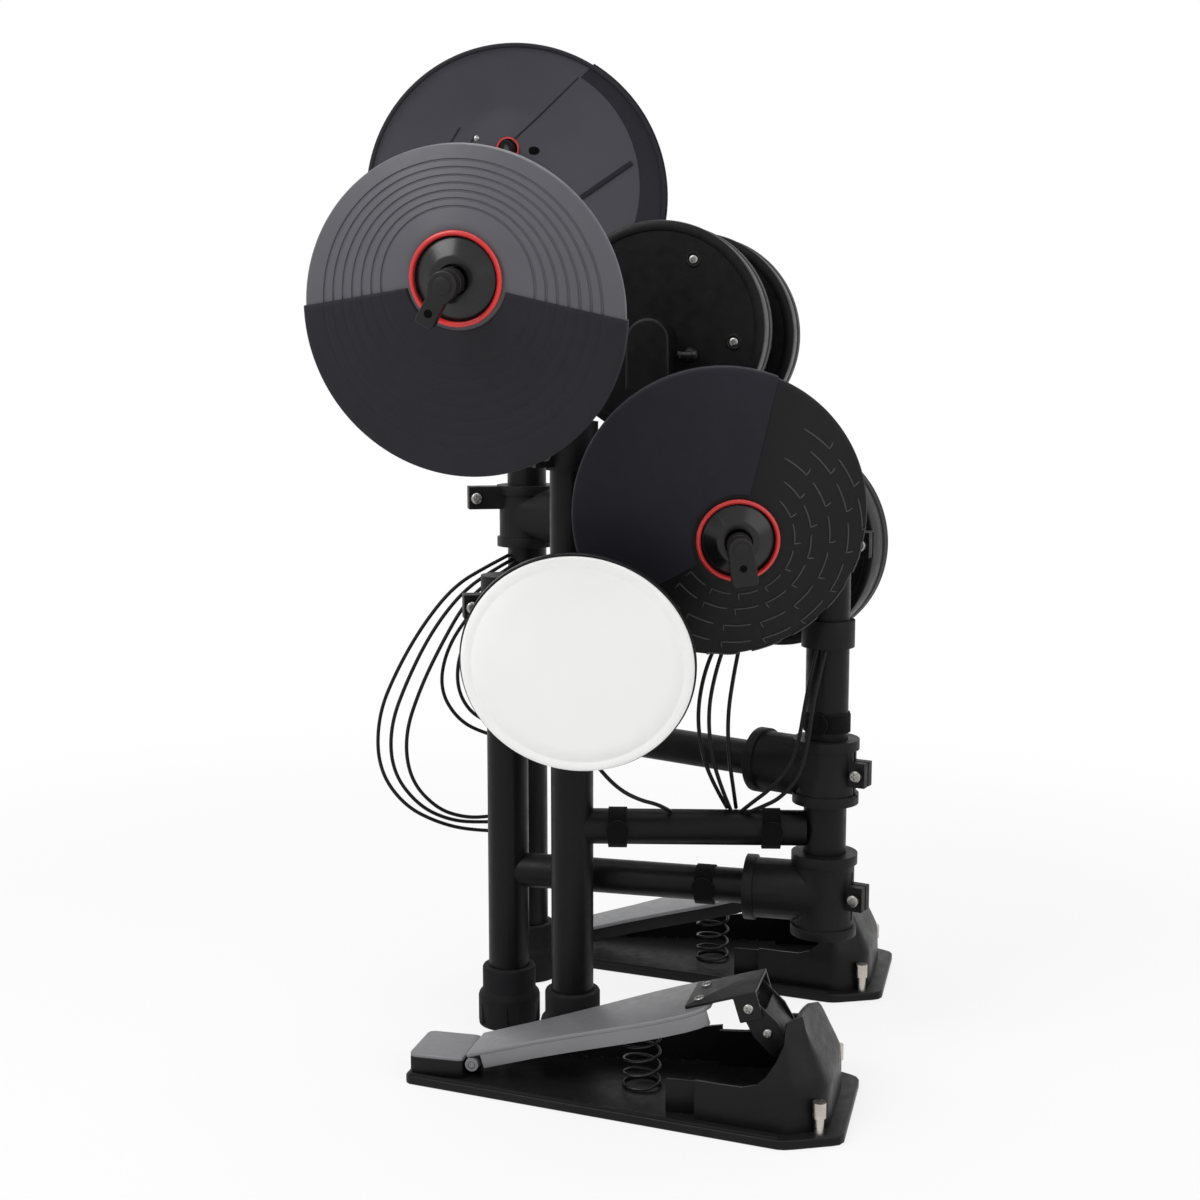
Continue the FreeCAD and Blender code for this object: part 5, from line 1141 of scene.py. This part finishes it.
def floor_material():
    """A matt white that glows where it is seen, more so away from the object."""
    material, tree, shader = new_material("stage_floor")
    fill(tree, shader, Base_Color=FLOOR_WHITE, Roughness=FLOOR_ROUGH, Specular_IOR_Level=FLOOR_SPECULAR)
    spot = add(tree, "TexCoord").outputs["Object"]
    length = add(tree, "VectorMath", operation="LENGTH", Vector=spot).outputs["Value"]
    fade = add(tree, "MapRange", interpolation_type="SMOOTHSTEP", Value=length,
               From_Min=FADE_START, From_Max=FADE_END, To_Min=FLOOR_GLOW)
    amount = combined(tree, "MULTIPLY", seen_rays(tree), fade.outputs["Result"])
    glow = add(tree, "Emission", Strength=1.0).outputs["Emission"]
    blended(tree, amount, shader.outputs["BSDF"], glow, tree.nodes["Material Output"])
    return material


def stage_floor():
    mesh = bpy.data.meshes.new("stage_floor")
    half = FLOOR_HALF
    corners = [(-half, -half, 0), (half, -half, 0), (half, half, 0), (-half, half, 0)]
    mesh.from_pydata(corners, [], [(0, 1, 2, 3)])
    mesh.materials.append(floor_material())
    floor = placed("stage_floor", mesh)


def studio_world():
    """White where it is seen, and a dimmer soft light on the object."""
    world = bpy.data.worlds.new("studio")
    bpy.context.scene.world = world
    world.use_nodes = True
    tree = world.node_tree
    tree.nodes.clear()
    soft, white = (add(tree, "Background", Color=(1, 1, 1, 1), Strength=strength)
                   for strength in (WORLD_SOFT, WORLD_SEEN))
    blended(tree, seen_rays(tree), soft.outputs["Background"], white.outputs["Background"],
            add(tree, "OutputWorld"))


def lamp(name, place, target, power, size):
    data = bpy.data.lights.new(name, "AREA")
    data.energy = power
    data.size = size
    piece = placed(name, data)
    piece.matrix_world = aimed(place, Vector(place) - Vector(target))


def photo_camera():
    data = bpy.data.cameras.new("photo_camera")
    data.lens = LENS
    data.sensor_width = SENSOR
    piece = placed("photo_camera", data)
    piece.matrix_world = aimed(CAMERA_SPOT, facing(0, CAMERA_PITCH))
    bpy.context.scene.camera = piece


stage_floor()
studio_world()
for name, values in LAMPS.items():
    lamp(name, *values)
photo_camera()
bpy.context.scene.view_settings.view_transform = "Standard"
